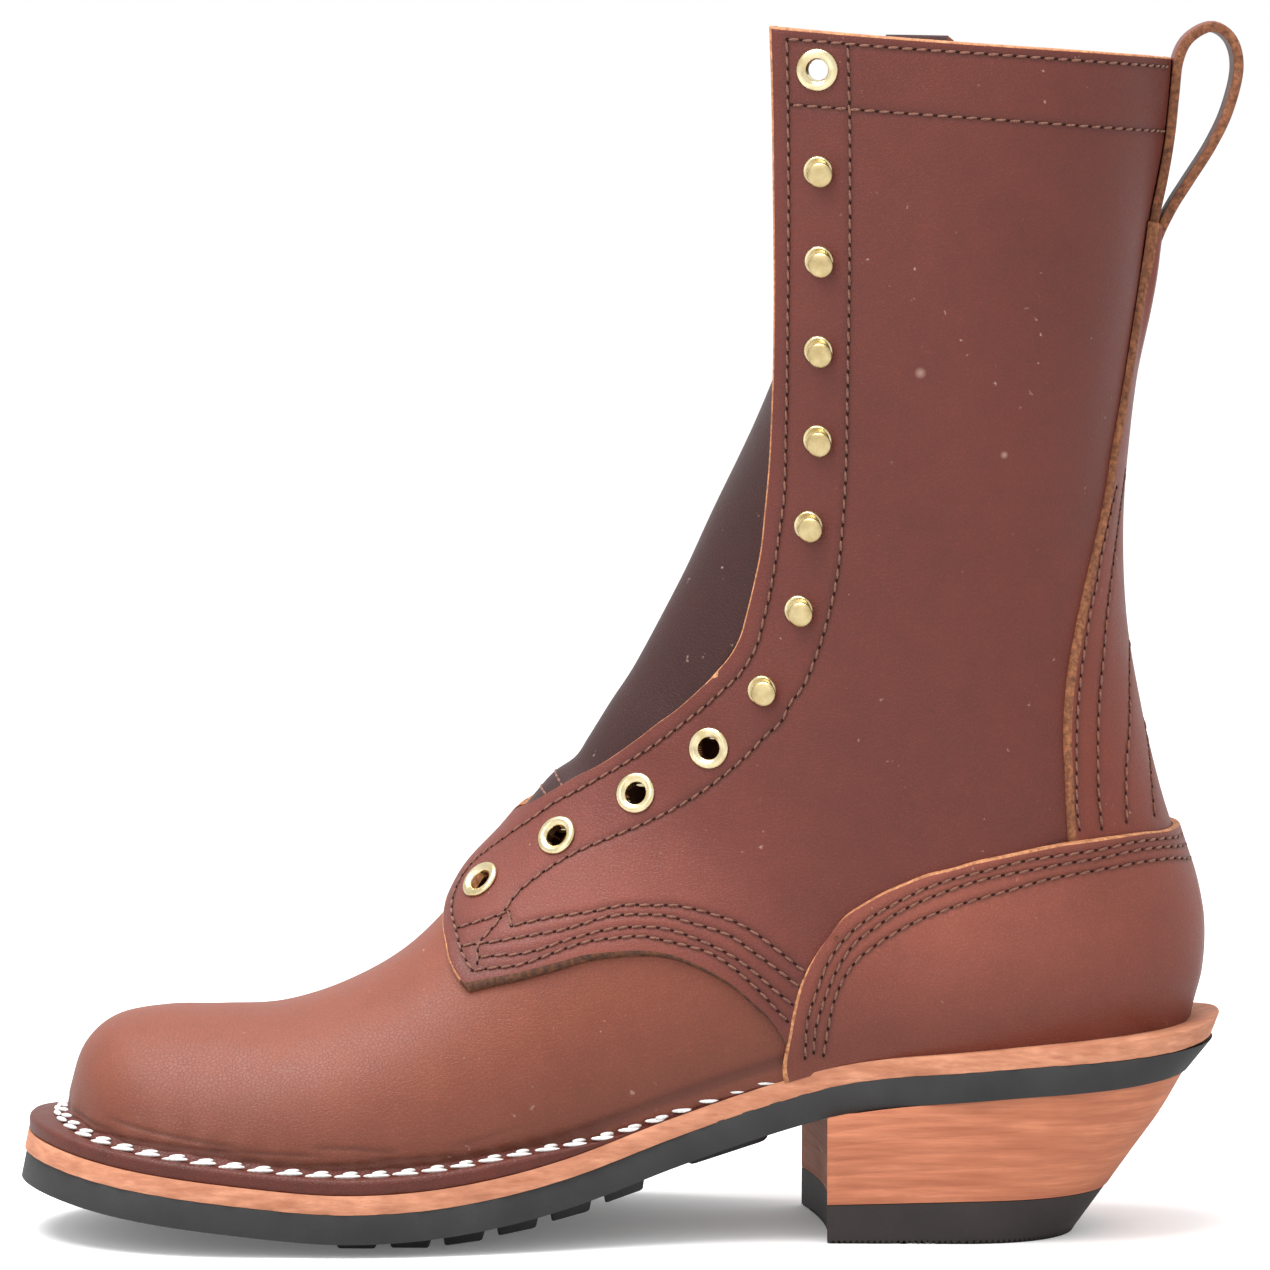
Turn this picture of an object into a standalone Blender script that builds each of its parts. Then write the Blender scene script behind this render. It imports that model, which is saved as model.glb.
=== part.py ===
"""Right packer boot, ten inches tall, standing on its heel and forefoot.

The toe points along -X, the inner (arch) side of the foot faces -Y and +Z is up.
Every size is in millimetres, and MM turns it into metres where a mesh is made.
"""

import math

import bmesh
import bpy
import numpy as np
from mathutils import Matrix, Vector
from mathutils.bvhtree import BVHTree

MM = 0.001
GAP = 0.3

# Sole, heel and leather thicknesses
OUTSOLE_THICK = 7.3
MIDSOLE_THICK = 5.4
FLANGE_THICK = 4.1
INSOLE_THICK = 3.0
INSOLE_EASE = 1.1
TOPLIFT_THICK = 9.8
WALL = 2.4
OVERLAY_THICK = 2.0
TONGUE_THICK = 2.0
STRAP_THICK = 2.2
STRAP_HALF_WIDTH = 10.5

# Toe and heel end of each sole layer, and where the round toe and the round heel begin
OUTSOLE_ENDS = (-153.2, 151.8)
MIDSOLE_ENDS = (-152.6, 153.5)
FLANGE_ENDS = (-151.6, 153.5)
FLANGE_BACK = 9.0
TOE_ROUND_FROM = -92.0
TOE_ROUNDNESS = 2.1
HEEL_ROUND_FROM = 112.0
HEEL_ROUNDNESS = 2.3
OUTSOLE_BACK_BELOW = 143.0

# Places along the sole: angles round the toe and the heel, and a count between them
TOE_ANGLES = (88, 78, 67, 55, 42, 28, 14)
HEEL_ANGLES = (16, 32, 47, 60, 71, 80, 88)
MIDDLE_STATIONS = 22

# Underside of the outsole plate along the boot: x, height, depth of the lugs below it
UNDERSIDE_COLUMNS = ("x", "height", "lug")
SOLE_UNDERSIDE = (
    (-154.4, 12.9, 1.2),
    (-129.7, 8.3, 2.0),
    (-101.2, 5.3, 3.4),
    (-65.7, 3.1, 4.4),
    (-37.4, 5.4, 4.6),
    (-12.0, 10.8, 4.6),
    (13.2, 19.6, 4.6),
    (35.5, 27.2, 4.6),
    (53.6, 32.8, 4.6),
    (93.9, 37.6, 4.6),
    (134.1, 40.6, 4.6),
    (153.7, 41.6, 4.6),
)

# Plan of the sole: x, y of its middle line, half width
PLAN_COLUMNS = ("x", "middle", "half")
SOLE_PLAN = (
    (-153.2, -9.5, 46.5),
    (-120.0, -6.0, 50.0),
    (-92.0, -2.5, 53.0),
    (-55.0, 0.5, 55.0),
    (-25.0, 3.0, 50.5),
    (5.0, 5.0, 42.5),
    (30.0, 4.5, 37.5),
    (60.0, 2.5, 36.5),
    (90.0, 0.5, 37.5),
    (112.0, 0.0, 37.5),
    (153.5, 0.0, 37.5),
)

# Sections of the upper, from the toe round the foot and up the shaft. Each is a plane across the boot
# through a bottom (or back) point and a top (or front) point. half is its half width, tuck how far the
# oval closes again below its widest place (1 is a closed oval), and squareness the oval's exponent.
FORM_COLUMNS = ("bottom_x", "bottom_z", "top_x", "top_z", "middle", "half", "tuck", "squareness")
FORM = (
    (-101.2, -0.9, -142.7, 16.3, -5.0, 43.5, 0.05, 2.15),
    (-101.2, 1.7, -142.5, 30.1, -5.0, 43.5, 0.05, 2.15),
    (-101.2, 4.2, -140.5, 38.8, -5.0, 43.5, 0.05, 2.15),
    (-101.2, 6.3, -136.2, 47.9, -5.0, 43.5, 0.05, 2.15),
    (-101.2, 8.3, -128.3, 53.7, -5.0, 43.5, 0.05, 2.15),
    (-101.1, 9.8, -116.1, 56.4, -5.0, 43.5, 0.08, 2.15),
    (-100.1, 10.9, -102.4, 56.9, -4.0, 44.5, 0.15, 2.15),
    (-84.9, 9.9, -86.7, 57.6, -2.5, 46.5, 0.25, 2.15),
    (-66.7, 8.5, -70.5, 62.4, -0.5, 48.0, 0.32, 2.1),
    (-46.4, 9.1, -55.4, 70.9, 1.5, 48.0, 0.36, 2.1),
    (-24.2, 11.7, -42.7, 83.7, 3.0, 46.0, 0.42, 2.05),
    (-1.9, 16.4, -32.1, 99.1, 4.0, 43.5, 0.48, 2.0),
    (22.3, 23.6, -22.5, 112.8, 4.2, 41.2, 0.52, 2.0),
    (48.6, 29.9, -13.9, 124.0, 3.6, 39.0, 0.54, 2.0),
    (75.8, 33.5, -7.4, 133.1, 2.4, 37.6, 0.56, 2.05),
    (100.9, 35.7, -2.4, 141.2, 1.2, 37.2, 0.64, 2.1),
    (122.1, 36.8, 1.1, 147.7, 0.6, 37.0, 0.78, 2.15),
    (136.0, 38.3, 3.6, 153.8, 0.2, 37.0, 0.92, 2.2),
    (143.4, 45.0, 6.2, 159.8, 0.0, 37.0, 1.0, 2.2),
    (145.6, 57.2, 8.2, 165.8, 0.0, 37.0, 1.0, 2.2),
    (146.5, 68.3, 9.7, 171.9, 0.0, 37.2, 1.0, 2.2),
    (145.6, 79.5, 11.2, 177.9, 0.0, 37.4, 1.0, 2.2),
    (143.7, 89.5, 12.2, 183.9, 0.0, 37.6, 1.0, 2.2),
    (140.4, 99.6, 13.2, 191.0, 0.0, 37.8, 1.0, 2.2),
    (135.9, 113.8, 14.2, 200.0, 0.0, 38.2, 1.0, 2.2),
    (131.1, 133.9, 15.7, 212.0, 0.0, 38.8, 1.0, 2.2),
    (127.2, 157.0, 17.2, 227.0, 0.0, 40.2, 1.0, 2.25),
    (126.2, 182.1, 18.1, 245.0, 0.0, 42.2, 1.0, 2.35),
    (128.0, 207.2, 18.1, 264.0, 0.0, 44.0, 1.0, 2.45),
    (131.2, 232.1, 17.1, 282.9, 0.0, 45.4, 1.0, 2.5),
    (134.2, 258.1, 15.1, 299.8, 0.0, 46.4, 1.0, 2.5),
    (137.5, 277.9, 13.1, 310.7, 0.0, 47.0, 1.0, 2.5),
    (139.1, 297.8, 12.1, 319.6, 0.0, 47.2, 1.0, 2.5),
    (139.2, 313.6, 12.1, 329.5, 0.0, 47.2, 1.0, 2.5),
)
FORM_ROWS = 42
FORM_AROUND = 13
SEAT_ROWS = 140
SEAT_AROUND = 50
COUNTER_SECTIONS = (10, 28)
BACKSTAY_SECTIONS = (18, 33)

# Edges seen from the side: x, z
THROAT_EDGE = (
    (38.0, 331.5),
    (38.6, 214.1),
    (37.6, 189.0),
    (35.6, 173.9),
    (30.2, 153.8),
    (18.2, 139.5),
    (-4.4, 123.1),
    (-22.0, 113.7),
)
THROAT_FRONT = ((-70.0, 113.4), (-60.0, 331.5))
RIM_FRONT = (38.0, 306.9)
RIM_BACK = (139.2, 299.0)
COUNTER_EDGE = (
    (42.5, 20.0),
    (42.9, 45.5),
    (46.4, 66.9),
    (55.1, 80.7),
    (73.7, 93.3),
    (103.5, 102.5),
    (170.0, 106.1),
)
BACKSTAY_FOOT = 106.5
BACKSTAY_TOP = 258.1
BACKSTAY_EDGE = (
    (113.8, BACKSTAY_FOOT),
    (112.5, 130.2),
    (115.0, 146.4),
    (119.9, 174.8),
    (125.8, 208.6),
    (130.0, 232.1),
    (133.4, BACKSTAY_TOP),
)
# Ends of the cutters, clear of the boot
CUTTER_REACH = 150.0
CUTTER_BACK = 170.0
CUTTER_TOP = 360.0
CUTTER_BOTTOM = -30.0
CUTTER_STATIONS = 35

# Heel: x of the breast's inner corner, its hollow and its lean towards the outer side
HEEL_BREAST = 53.3
BREAST_HOLLOW = 2.5
BREAST_SKEW = -2.6
BREAST_SHARES = (1.0, 0.5, 0.0, -0.5, -1.0)
# Levels of the heel: x of the back, half width, height
TOPLIFT_LEVELS = (
    (116.4, 29.5, 0.0),
    (124.4, 30.5, TOPLIFT_THICK),
)
STACK_LEVELS = (
    (124.6, 30.6, TOPLIFT_THICK + GAP),
    (130.4, 32.4, 20.3),
    (136.4, 34.2, 29.6),
)
STACK_TOP_BACK = 142.4
STACK_TOP_HALF = 35.8
HEEL_ROUND_SHARE = 1.05
HEEL_AROUND = 12

# Tongue: x, z and y of its front middle, half width, and how far its sides curl back
TONGUE_COLUMNS = ("x", "z", "middle", "half", "curl")
TONGUE = (
    (-25.2, 100.4, 3.6, 14.0, 5.2),
    (-14.6, 113.3, 3.6, 16.0, 7.6),
    (-3.4, 126.3, 2.6, 17.0, 10.4),
    (5.2, 140.7, 1.0, 18.2, 14.2),
    (22.6, 175.9, 0.0, 25.0, 15.0),
    (39.6, 215.9, 0.0, 30.0, 13.0),
    (53.4, 256.0, 0.0, 33.0, 12.5),
    (62.4, 292.8, 0.0, 33.0, 12.5),
    (64.6, 303.2, 0.0, 25.0, 8.0),
    (65.2, 306.8, 0.0, 16.0, 4.0),
)
TONGUE_ROWS = 18
TONGUE_ACROSS = 10

# Pull loop: middle of the strap's thickness, from its inner end round the top to its outer end: x, z
LOOP_PATH = (
    (136.4, 260.2),
    (139.0, 269.0),
    (140.7, 278.9),
    (141.4, 289.9),
    (141.5, 298.3),
    (144.0, 303.2),
    (149.8, 306.1),
    (154.8, 302.9),
    (156.3, 295.8),
    (154.1, 285.5),
    (149.8, 276.4),
    (144.1, 267.4),
    (139.4, 260.6),
)
LOOP_STEPS = 40

# Lace holes and hooks on each side, from the top down: x, z
EYELETS = (
    (50.1, 294.8),
    (23.1, 125.8),
    (4.8, 114.2),
    (-15.2, 103.1),
    (-33.3, 91.4),
)
HOOKS = (
    (50.6, 270.6),
    (50.9, 248.4),
    (50.8, 226.3),
    (50.3, 203.8),
    (48.5, 182.8),
    (46.1, 161.9),
    (36.7, 141.1),
)
EYELET_OUTER = 5.0
EYELET_BARREL = 3.2
EYELET_BORE = 2.7
EYELET_PROUD = 1.1
EYELET_LIP = 0.8
EYELET_DISH = 0.2
EYELET_STEPS = 10
EYELET_HOLE_DEPTH = 14.0
HOOK_SIDES = 8
# Rings of a hook from its foot up: height, radius, lean away from the throat
HOOK_RINGS = (
    (GAP, 3.9, 0.0),
    (1.1, 3.9, 0.0),
    (1.5, 1.9, 0.0),
    (3.4, 1.9, 0.5),
    (3.8, 3.2, 1.5),
    (4.7, 3.4, 1.8),
    (5.3, 2.6, 1.8),
)

# Lugs: cells along the sole and across it, in millimetres and in parts of the half width
LUG_FROM = -138.0
LUG_LENGTH = 9.0
LUG_GROOVE = 4.4
LUG_ROWS = 11
LUG_EDGES = (-1.0, -0.86, -0.55, -0.43, -0.07, 0.07, 0.43, 0.55, 0.86, 1.0)
PAD_COLUMNS = (2, 6)
PAD_FROM = 16.0
PAD_TO = 40.0
STATION_CLEARANCE = 2.0

# Finish of each material: colour, roughness, metallic
FINISHES = {
    "brown_leather": ((0.13, 0.055, 0.032), 0.55, 0.0),
    "dark_leather": ((0.05, 0.026, 0.019), 0.5, 0.0),
    "tan_leather": ((0.42, 0.24, 0.12), 0.6, 0.0),
    "black_rubber": ((0.022, 0.022, 0.023), 0.7, 0.0),
    "brown_rubber": ((0.06, 0.042, 0.034), 0.7, 0.0),
    "brass": ((0.62, 0.45, 0.22), 0.35, 1.0),
}


def curve_through(knots, values, where):
    """Smooth curve through a table's values, read at the given places."""
    knots = np.asarray(knots, float)
    values = np.asarray(values, float)
    slopes = np.gradient(values, knots)
    where = np.clip(np.asarray(where, float), knots[0], knots[-1])
    left = np.clip(np.searchsorted(knots, where) - 1, 0, len(knots) - 2)
    span = knots[left + 1] - knots[left]
    t = (where - knots[left]) / span
    rise = t * t * (3.0 - 2.0 * t)
    start = t * (1.0 - t) ** 2 * span
    end = -t * t * (1.0 - t) * span
    return (values[left] * (1.0 - rise) + values[left + 1] * rise
            + slopes[left] * start + slopes[left + 1] * end)


def column(table, names, wanted):
    """One named column of a table."""
    return np.array([row[names.index(wanted)] for row in table])


def path_through(points, steps):
    """Smooth path through side-view points, evenly stepped by point number."""
    points = np.asarray(points, float)
    numbers = np.arange(len(points))
    where = np.linspace(0, len(points) - 1, steps)
    return [tuple(pair) for pair in zip(curve_through(numbers, points[:, 0], where),
                                        curve_through(numbers, points[:, 1], where))]


def underside(x, wanted):
    """Height of the outsole plate's underside at x, or depth of the lugs there."""
    return curve_through(column(SOLE_UNDERSIDE, UNDERSIDE_COLUMNS, "x"),
                         column(SOLE_UNDERSIDE, UNDERSIDE_COLUMNS, wanted), x)


OUTSOLE_TOP = OUTSOLE_THICK
MIDSOLE_BASE = OUTSOLE_TOP + GAP
MIDSOLE_TOP = MIDSOLE_BASE + MIDSOLE_THICK
UPPER_BASE = MIDSOLE_TOP + GAP


def sole_height(x, layer):
    """Height at x of a sole layer's top, counted up from the outsole's underside."""
    return underside(x, "height") + layer


def sole_edge(x, ends):
    """Inner and outer edge at x of a sole layer with the given toe and heel end."""
    places = column(SOLE_PLAN, PLAN_COLUMNS, "x")
    middle = curve_through(places, column(SOLE_PLAN, PLAN_COLUMNS, "middle"), x)
    half = curve_through(places, column(SOLE_PLAN, PLAN_COLUMNS, "half"), x)
    toe_run = (TOE_ROUND_FROM - x) / (TOE_ROUND_FROM - ends[0])
    heel_run = (x - HEEL_ROUND_FROM) / (ends[1] - HEEL_ROUND_FROM)
    roundness = TOE_ROUNDNESS if x < 0 else HEEL_ROUNDNESS
    run = min(max(toe_run, heel_run, 0.0), 0.9993)
    half *= (1.0 - run ** roundness) ** (1.0 / roundness)
    return middle - half, middle + half


def sole_stations(start, stop, ends):
    """Places along a sole layer, closer together round the toe and the heel."""
    toe = TOE_ROUND_FROM + (ends[0] - TOE_ROUND_FROM) * np.sin(np.radians(TOE_ANGLES))
    heel = HEEL_ROUND_FROM + (ends[1] - HEEL_ROUND_FROM) * np.sin(np.radians(HEEL_ANGLES))
    middle = np.linspace(TOE_ROUND_FROM, HEEL_ROUND_FROM, MIDDLE_STATIONS)
    places = np.concatenate((toe, middle, heel))
    inside = places[(places > start + 1.0) & (places < stop - 1.0)]
    first = max(start, places[0])
    last = min(stop, places[-1])
    return np.concatenate(((first,), inside, (last,)))


def clear_scene():
    for item in list(bpy.data.objects):
        bpy.data.objects.remove(item, do_unlink=True)


def new_collection(name):
    group = bpy.data.collections.new(name)
    bpy.context.scene.collection.children.link(group)
    return group


def finish(name):
    """Principled material of one of the boot's finishes."""
    colour, roughness, metallic = FINISHES[name]
    material = bpy.data.materials.get(name) or bpy.data.materials.new(name)
    material.use_nodes = True
    shader = material.node_tree.nodes["Principled BSDF"]
    shader.inputs["Base Color"].default_value = (*colour, 1.0)
    shader.inputs["Roughness"].default_value = roughness
    shader.inputs["Metallic"].default_value = metallic
    return material


clear_scene()
BOOT = new_collection("packer_boot")
CUTTERS = new_collection("packer_boot_cutters")
STAND = bpy.data.objects.new("stand", None)
BOOT.objects.link(STAND)


def add_piece(name, mesh, finish_name):
    """A named part of the boot, carried by the stand."""
    piece = bpy.data.objects.new(name, mesh)
    piece.parent = STAND
    if finish_name:
        mesh.materials.append(finish(finish_name))
        mesh.shade_smooth()
        mesh.set_sharp_from_angle(angle=math.radians(40))
        BOOT.objects.link(piece)
    else:
        piece.hide_render = True
        piece.display_type = "WIRE"
        CUTTERS.objects.link(piece)
    return piece


def mesh_from(name, points, faces):
    """Mesh from points in millimetres, with double points merged."""
    mesh = bpy.data.meshes.new(name)
    mesh.from_pydata([tuple(value * MM for value in point) for point in points], [], faces)
    body = bmesh.new()
    body.from_mesh(mesh)
    bmesh.ops.remove_doubles(body, verts=body.verts, dist=1e-6)
    bmesh.ops.dissolve_degenerate(body, edges=body.edges, dist=1e-6)
    body.to_mesh(mesh)
    body.free()
    return mesh


def loft(name, rings, finish_name=None):
    """Closed solid through rings that have the same number of points."""
    count = len(rings[0])
    points = [point for ring in rings for point in ring]
    faces = [tuple(range(count))]
    for ring in range(len(rings) - 1):
        for side in range(count):
            after = (side + 1) % count
            faces.append((ring * count + side, (ring + 1) * count + side,
                          (ring + 1) * count + after, ring * count + after))
    faces.append(tuple(reversed(range((len(rings) - 1) * count, len(rings) * count))))
    mesh = mesh_from(name, points, faces)
    body = bmesh.new()
    body.from_mesh(mesh)
    bmesh.ops.recalc_face_normals(body, faces=body.faces)
    body.to_mesh(mesh)
    body.free()
    return add_piece(name, mesh, finish_name)


def sheet(name, rows, finish_name, thick, side):
    """Wall of a given thickness on an open surface of rows of points."""
    count = len(rows[0])
    points = [point for row in rows for point in row]
    faces = []
    for row in range(len(rows) - 1):
        for step in range(count - 1):
            corner = row * count + step
            faces.append((corner, corner + 1, corner + count + 1, corner + count))
    piece = add_piece(name, mesh_from(name, points, faces), finish_name)
    wall = piece.modifiers.new("wall", "SOLIDIFY")
    wall.thickness = thick * MM
    wall.offset = side
    wall.use_even_offset = True
    return piece


def prism(name, outline):
    """Cutter with a side-view outline, running right across the boot."""
    rings = [[(x, y, z) for x, z in outline] for y in (-CUTTER_REACH, CUTTER_REACH)]
    return loft(name, rings)


def cut(piece, cutter, operation="DIFFERENCE", solver="EXACT"):
    step = piece.modifiers.new(cutter.name, "BOOLEAN")
    step.operation = operation
    step.solver = solver
    step.object = cutter


def form_points(offset, rows=FORM_ROWS, around=FORM_AROUND):
    """Rows of points on the upper's form, moved out by offset along its normals."""
    where = np.linspace(0, len(FORM) - 1, rows)
    numbers = np.arange(len(FORM))
    value = {}
    for name in FORM_COLUMNS:
        value[name] = curve_through(numbers, column(FORM, FORM_COLUMNS, name), where)[:, None]
    tuck = np.minimum(value["tuck"], 1.0)
    start = np.arcsin(-tuck)
    swing = np.sin(start + (np.pi / 2 - start) * np.linspace(0, 1, around)[None, :])
    part = (swing + tuck) / (1.0 + tuck)
    power = value["squareness"]
    width = value["half"] * np.maximum(1.0 - np.abs(swing) ** power, 0.0) ** (1.0 / power)
    along_x = value["bottom_x"] + part * (value["top_x"] - value["bottom_x"])
    along_z = value["bottom_z"] + part * (value["top_z"] - value["bottom_z"])
    inner = np.stack((along_x, value["middle"] - width, along_z), axis=2)
    outer = np.stack((along_x, value["middle"] + width, along_z), axis=2)
    grid = np.concatenate((inner, outer[:, -2::-1]), axis=1)
    facing = np.cross(np.gradient(grid, axis=0), np.gradient(grid, axis=1))
    facing /= np.maximum(np.linalg.norm(facing, axis=2, keepdims=True), 1e-9)
    closed = tuck[:, 0] > 0.999
    seam = facing[closed, 0] + facing[closed, -1]
    seam /= np.linalg.norm(seam, axis=1, keepdims=True)
    facing[closed, 0] = seam
    facing[closed, -1] = seam
    return grid + offset * facing


def form_shell(name, offset, thick, side, finish_name, first=0, last=len(FORM)):
    """Open wall on some sections of the upper's form: side 1 grows outwards, -1 inwards."""
    sections = np.linspace(0, len(FORM) - 1, FORM_ROWS)
    rows = form_points(offset)[(sections >= first) & (sections <= last)]
    return sheet(name, [row[::-1] for row in rows], finish_name, thick, side)


def form_solid(name, offset):
    """Filled form, as a cutter for what lies inside or against the upper."""
    return loft(name, form_points(offset))


def sole_slab(name, low, high, ends, stop, finish_name):
    """Layer of the sole between two heights over the outsole's underside."""
    rings = []
    for x in sole_stations(ends[0], stop, ends):
        inner, outer = sole_edge(x, ends)
        base = sole_height(x, low)
        top = sole_height(x, high)
        rings.append([(x, inner, base), (x, outer, base), (x, outer, top), (x, inner, top)])
    return loft(name, rings, finish_name)


def outsole_ring(x):
    """Section of the outsole, its underside drawn in behind the heel."""
    inner, outer = sole_edge(x, OUTSOLE_ENDS)
    middle = (inner + outer) / 2
    half = (outer - inner) / 2
    draw = (OUTSOLE_BACK_BELOW - HEEL_ROUND_FROM) / (OUTSOLE_ENDS[1] - HEEL_ROUND_FROM)
    below = HEEL_ROUND_FROM + (x - HEEL_ROUND_FROM) * draw if x > HEEL_ROUND_FROM else x
    base = sole_height(below, 0.0)
    top = sole_height(x, OUTSOLE_TOP)
    ring = [(below, middle + part * half, base) for part in LUG_EDGES]
    return ring + [(x, outer, top), (x, inner, top)]


def build_outsole():
    """Rubber plate with its lugs and arch pad drawn down from cells of the underside."""
    starts = [LUG_FROM + row * (LUG_LENGTH + LUG_GROOVE) for row in range(LUG_ROWS)]
    marks = [x for start in starts for x in (start, start + LUG_LENGTH)] + [PAD_FROM, PAD_TO]
    plain = sole_stations(*OUTSOLE_ENDS, OUTSOLE_ENDS)
    plain = [x for x in plain if min(abs(x - mark) for mark in marks) > STATION_CLEARANCE]
    piece = loft("outsole", [outsole_ring(x) for x in sorted(marks + plain)], "black_rubber")
    body = bmesh.new()
    body.from_mesh(piece.data)
    lugs = []
    pads = []
    for face in body.faces:
        if face.normal.z > -0.8:
            continue
        centre = face.calc_center_median() / MM
        inner, outer = sole_edge(centre.x, OUTSOLE_ENDS)
        part = (2 * centre.y - inner - outer) / (outer - inner)
        across = sum(part > edge for edge in LUG_EDGES) - 1
        if any(start < centre.x < start + LUG_LENGTH for start in starts) and across % 2 == 1:
            lugs.append(face)
        elif PAD_FROM < centre.x < PAD_TO and PAD_COLUMNS[0] <= across <= PAD_COLUMNS[1]:
            pads.append(face)
    grown = bmesh.ops.extrude_discrete_faces(body, faces=merge_cells(body, lugs))["faces"]
    pad = bmesh.ops.extrude_face_region(body, geom=pads)["geom"]
    bmesh.ops.delete(body, geom=pads, context="FACES")
    corners = {corner for face in grown for corner in face.verts}
    corners |= {item for item in pad if isinstance(item, bmesh.types.BMVert)}
    for corner in corners:
        depth = float(underside(corner.co.x / MM, "lug"))
        corner.co.z = max(corner.co.z - depth * MM, 0.0)
    body.to_mesh(piece.data)
    body.free()


def merge_cells(body, cells):
    """Cells that share a lug become one face each."""
    shared = set()
    chosen = set(cells)
    for cell in cells:
        for edge in cell.edges:
            if len(edge.link_faces) == 2 and all(face in chosen for face in edge.link_faces):
                shared.add(edge)
    merged = bmesh.ops.dissolve_edges(body, edges=list(shared), use_verts=True)["region"]
    single = [cell for cell in cells if cell.is_valid]
    return single + [face for face in merged if face.is_valid and face not in chosen]


def heel_ring(back, half, heights):
    """Outline of one heel level, from the inner breast corner round the back."""
    round_from = back - half * HEEL_ROUND_SHARE
    points = []
    for step in range(HEEL_AROUND + 1):
        angle = math.pi * (step / HEEL_AROUND - 0.5)
        x = round_from + (back - round_from) * math.cos(angle) ** (2 / HEEL_ROUNDNESS)
        y = half * math.copysign(abs(math.sin(angle)) ** (2 / HEEL_ROUNDNESS), angle)
        points.append((x, y))
    for share in BREAST_SHARES:
        x = HEEL_BREAST + BREAST_SKEW * (share + 1) + BREAST_HOLLOW * (1 - share * share)
        points.append((x, half * share))
    return [(x, y, heights(x)) for x, y in points]


def build_heel():
    """Rubber top lift, and the leather stack that follows the outsole's underside."""
    lift = [heel_ring(back, half, lambda x, level=height: level) for back, half, height in TOPLIFT_LEVELS]
    loft("heel_toplift", lift, "brown_rubber")
    stack = [heel_ring(back, half, lambda x, level=height: level) for back, half, height in STACK_LEVELS]
    stack.append(heel_ring(STACK_TOP_BACK, STACK_TOP_HALF, lambda x: float(sole_height(x, -GAP))))
    loft("heel_stack", stack, "tan_leather")


def build_tongue():
    numbers = np.arange(len(TONGUE))
    where = np.linspace(0, len(TONGUE) - 1, TONGUE_ROWS)
    value = {}
    for name in TONGUE_COLUMNS:
        value[name] = curve_through(numbers, column(TONGUE, TONGUE_COLUMNS, name), where)
    lean_x = np.gradient(value["x"])
    lean_z = np.gradient(value["z"])
    length = np.hypot(lean_x, lean_z)
    rows = []
    for row in range(TONGUE_ROWS):
        back_x = lean_z[row] / length[row]
        back_z = -lean_x[row] / length[row]
        points = []
        for across in np.linspace(-1, 1, TONGUE_ACROSS + 1):
            drop = value["curl"][row] * across * across
            points.append((value["x"][row] + drop * back_x,
                           value["middle"][row] + value["half"][row] * across,
                           value["z"][row] + drop * back_z))
        rows.append(points)
    sheet("tongue", rows, "dark_leather", TONGUE_THICK, -1)


def build_pull_loop():
    path = path_through(LOOP_PATH, LOOP_STEPS)
    rows = [[(x, -STRAP_HALF_WIDTH, z), (x, STRAP_HALF_WIDTH, z)] for x, z in path]
    sheet("pull_loop", rows, "brown_leather", STRAP_THICK, 0)


def form_tree():
    """Search tree of the upper's outer face, for seating the lace fittings on it."""
    rows = form_points(0.0, SEAT_ROWS, SEAT_AROUND)
    count = rows.shape[1]
    faces = []
    for row in range(len(rows) - 1):
        for step in range(count - 1):
            corner = row * count + step
            faces.append((corner, corner + 1, corner + count + 1, corner + count))
    return BVHTree.FromPolygons([Vector(point) for row in rows for point in row], faces)


def seat_on_form(tree, x, z, side):
    """Frame on the upper's surface at a side-view place: Z leaves the leather, X points to the heel."""
    start = Vector((x, side * CUTTER_REACH, z))
    place, normal, _, _ = tree.ray_cast(start, Vector((0, -side, 0)))
    if normal.y * side < 0:
        normal = -normal
    heelward = (Vector((1, 0, 0)) - normal * normal.x).normalized()
    turn = Matrix((heelward, normal.cross(heelward), normal)).transposed().to_4x4()
    return Matrix.Translation(place * MM) @ turn


def eyelet_mesh():
    """Turned brass ring with its barrel, from a profile that runs down its outer side."""
    profile = (
        (EYELET_BORE, EYELET_PROUD - EYELET_DISH),
        (EYELET_OUTER - EYELET_LIP, EYELET_PROUD),
        (EYELET_OUTER, GAP),
        (EYELET_BARREL, GAP),
        (EYELET_BARREL, -WALL),
        (EYELET_BORE, -WALL),
    )
    edges = [(corner, (corner + 1) % len(profile)) for corner in range(len(profile))]
    mesh = bpy.data.meshes.new("eyelet")
    mesh.from_pydata([(r * MM, 0.0, z * MM) for r, z in profile], edges, [])
    return mesh


def hook_rings():
    rings = []
    for height, radius, lean in HOOK_RINGS:
        turns = [2 * math.pi * side / HOOK_SIDES for side in range(HOOK_SIDES)]
        rings.append([(lean + radius * math.cos(turn), radius * math.sin(turn), height) for turn in turns])
    return rings


def eyelet_hole(name, frame):
    """Cutter for the hole that an eyelet's barrel passes through."""
    bpy.ops.mesh.primitive_cylinder_add(vertices=EYELET_STEPS, radius=(EYELET_BARREL + GAP) * MM,
                                        depth=EYELET_HOLE_DEPTH * MM)
    hole = bpy.context.object
    for group in list(hole.users_collection):
        group.objects.unlink(hole)
    CUTTERS.objects.link(hole)
    hole.name = name
    hole.parent = STAND
    hole.matrix_local = frame
    hole.hide_render = True
    hole.display_type = "WIRE"
    return hole


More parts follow.
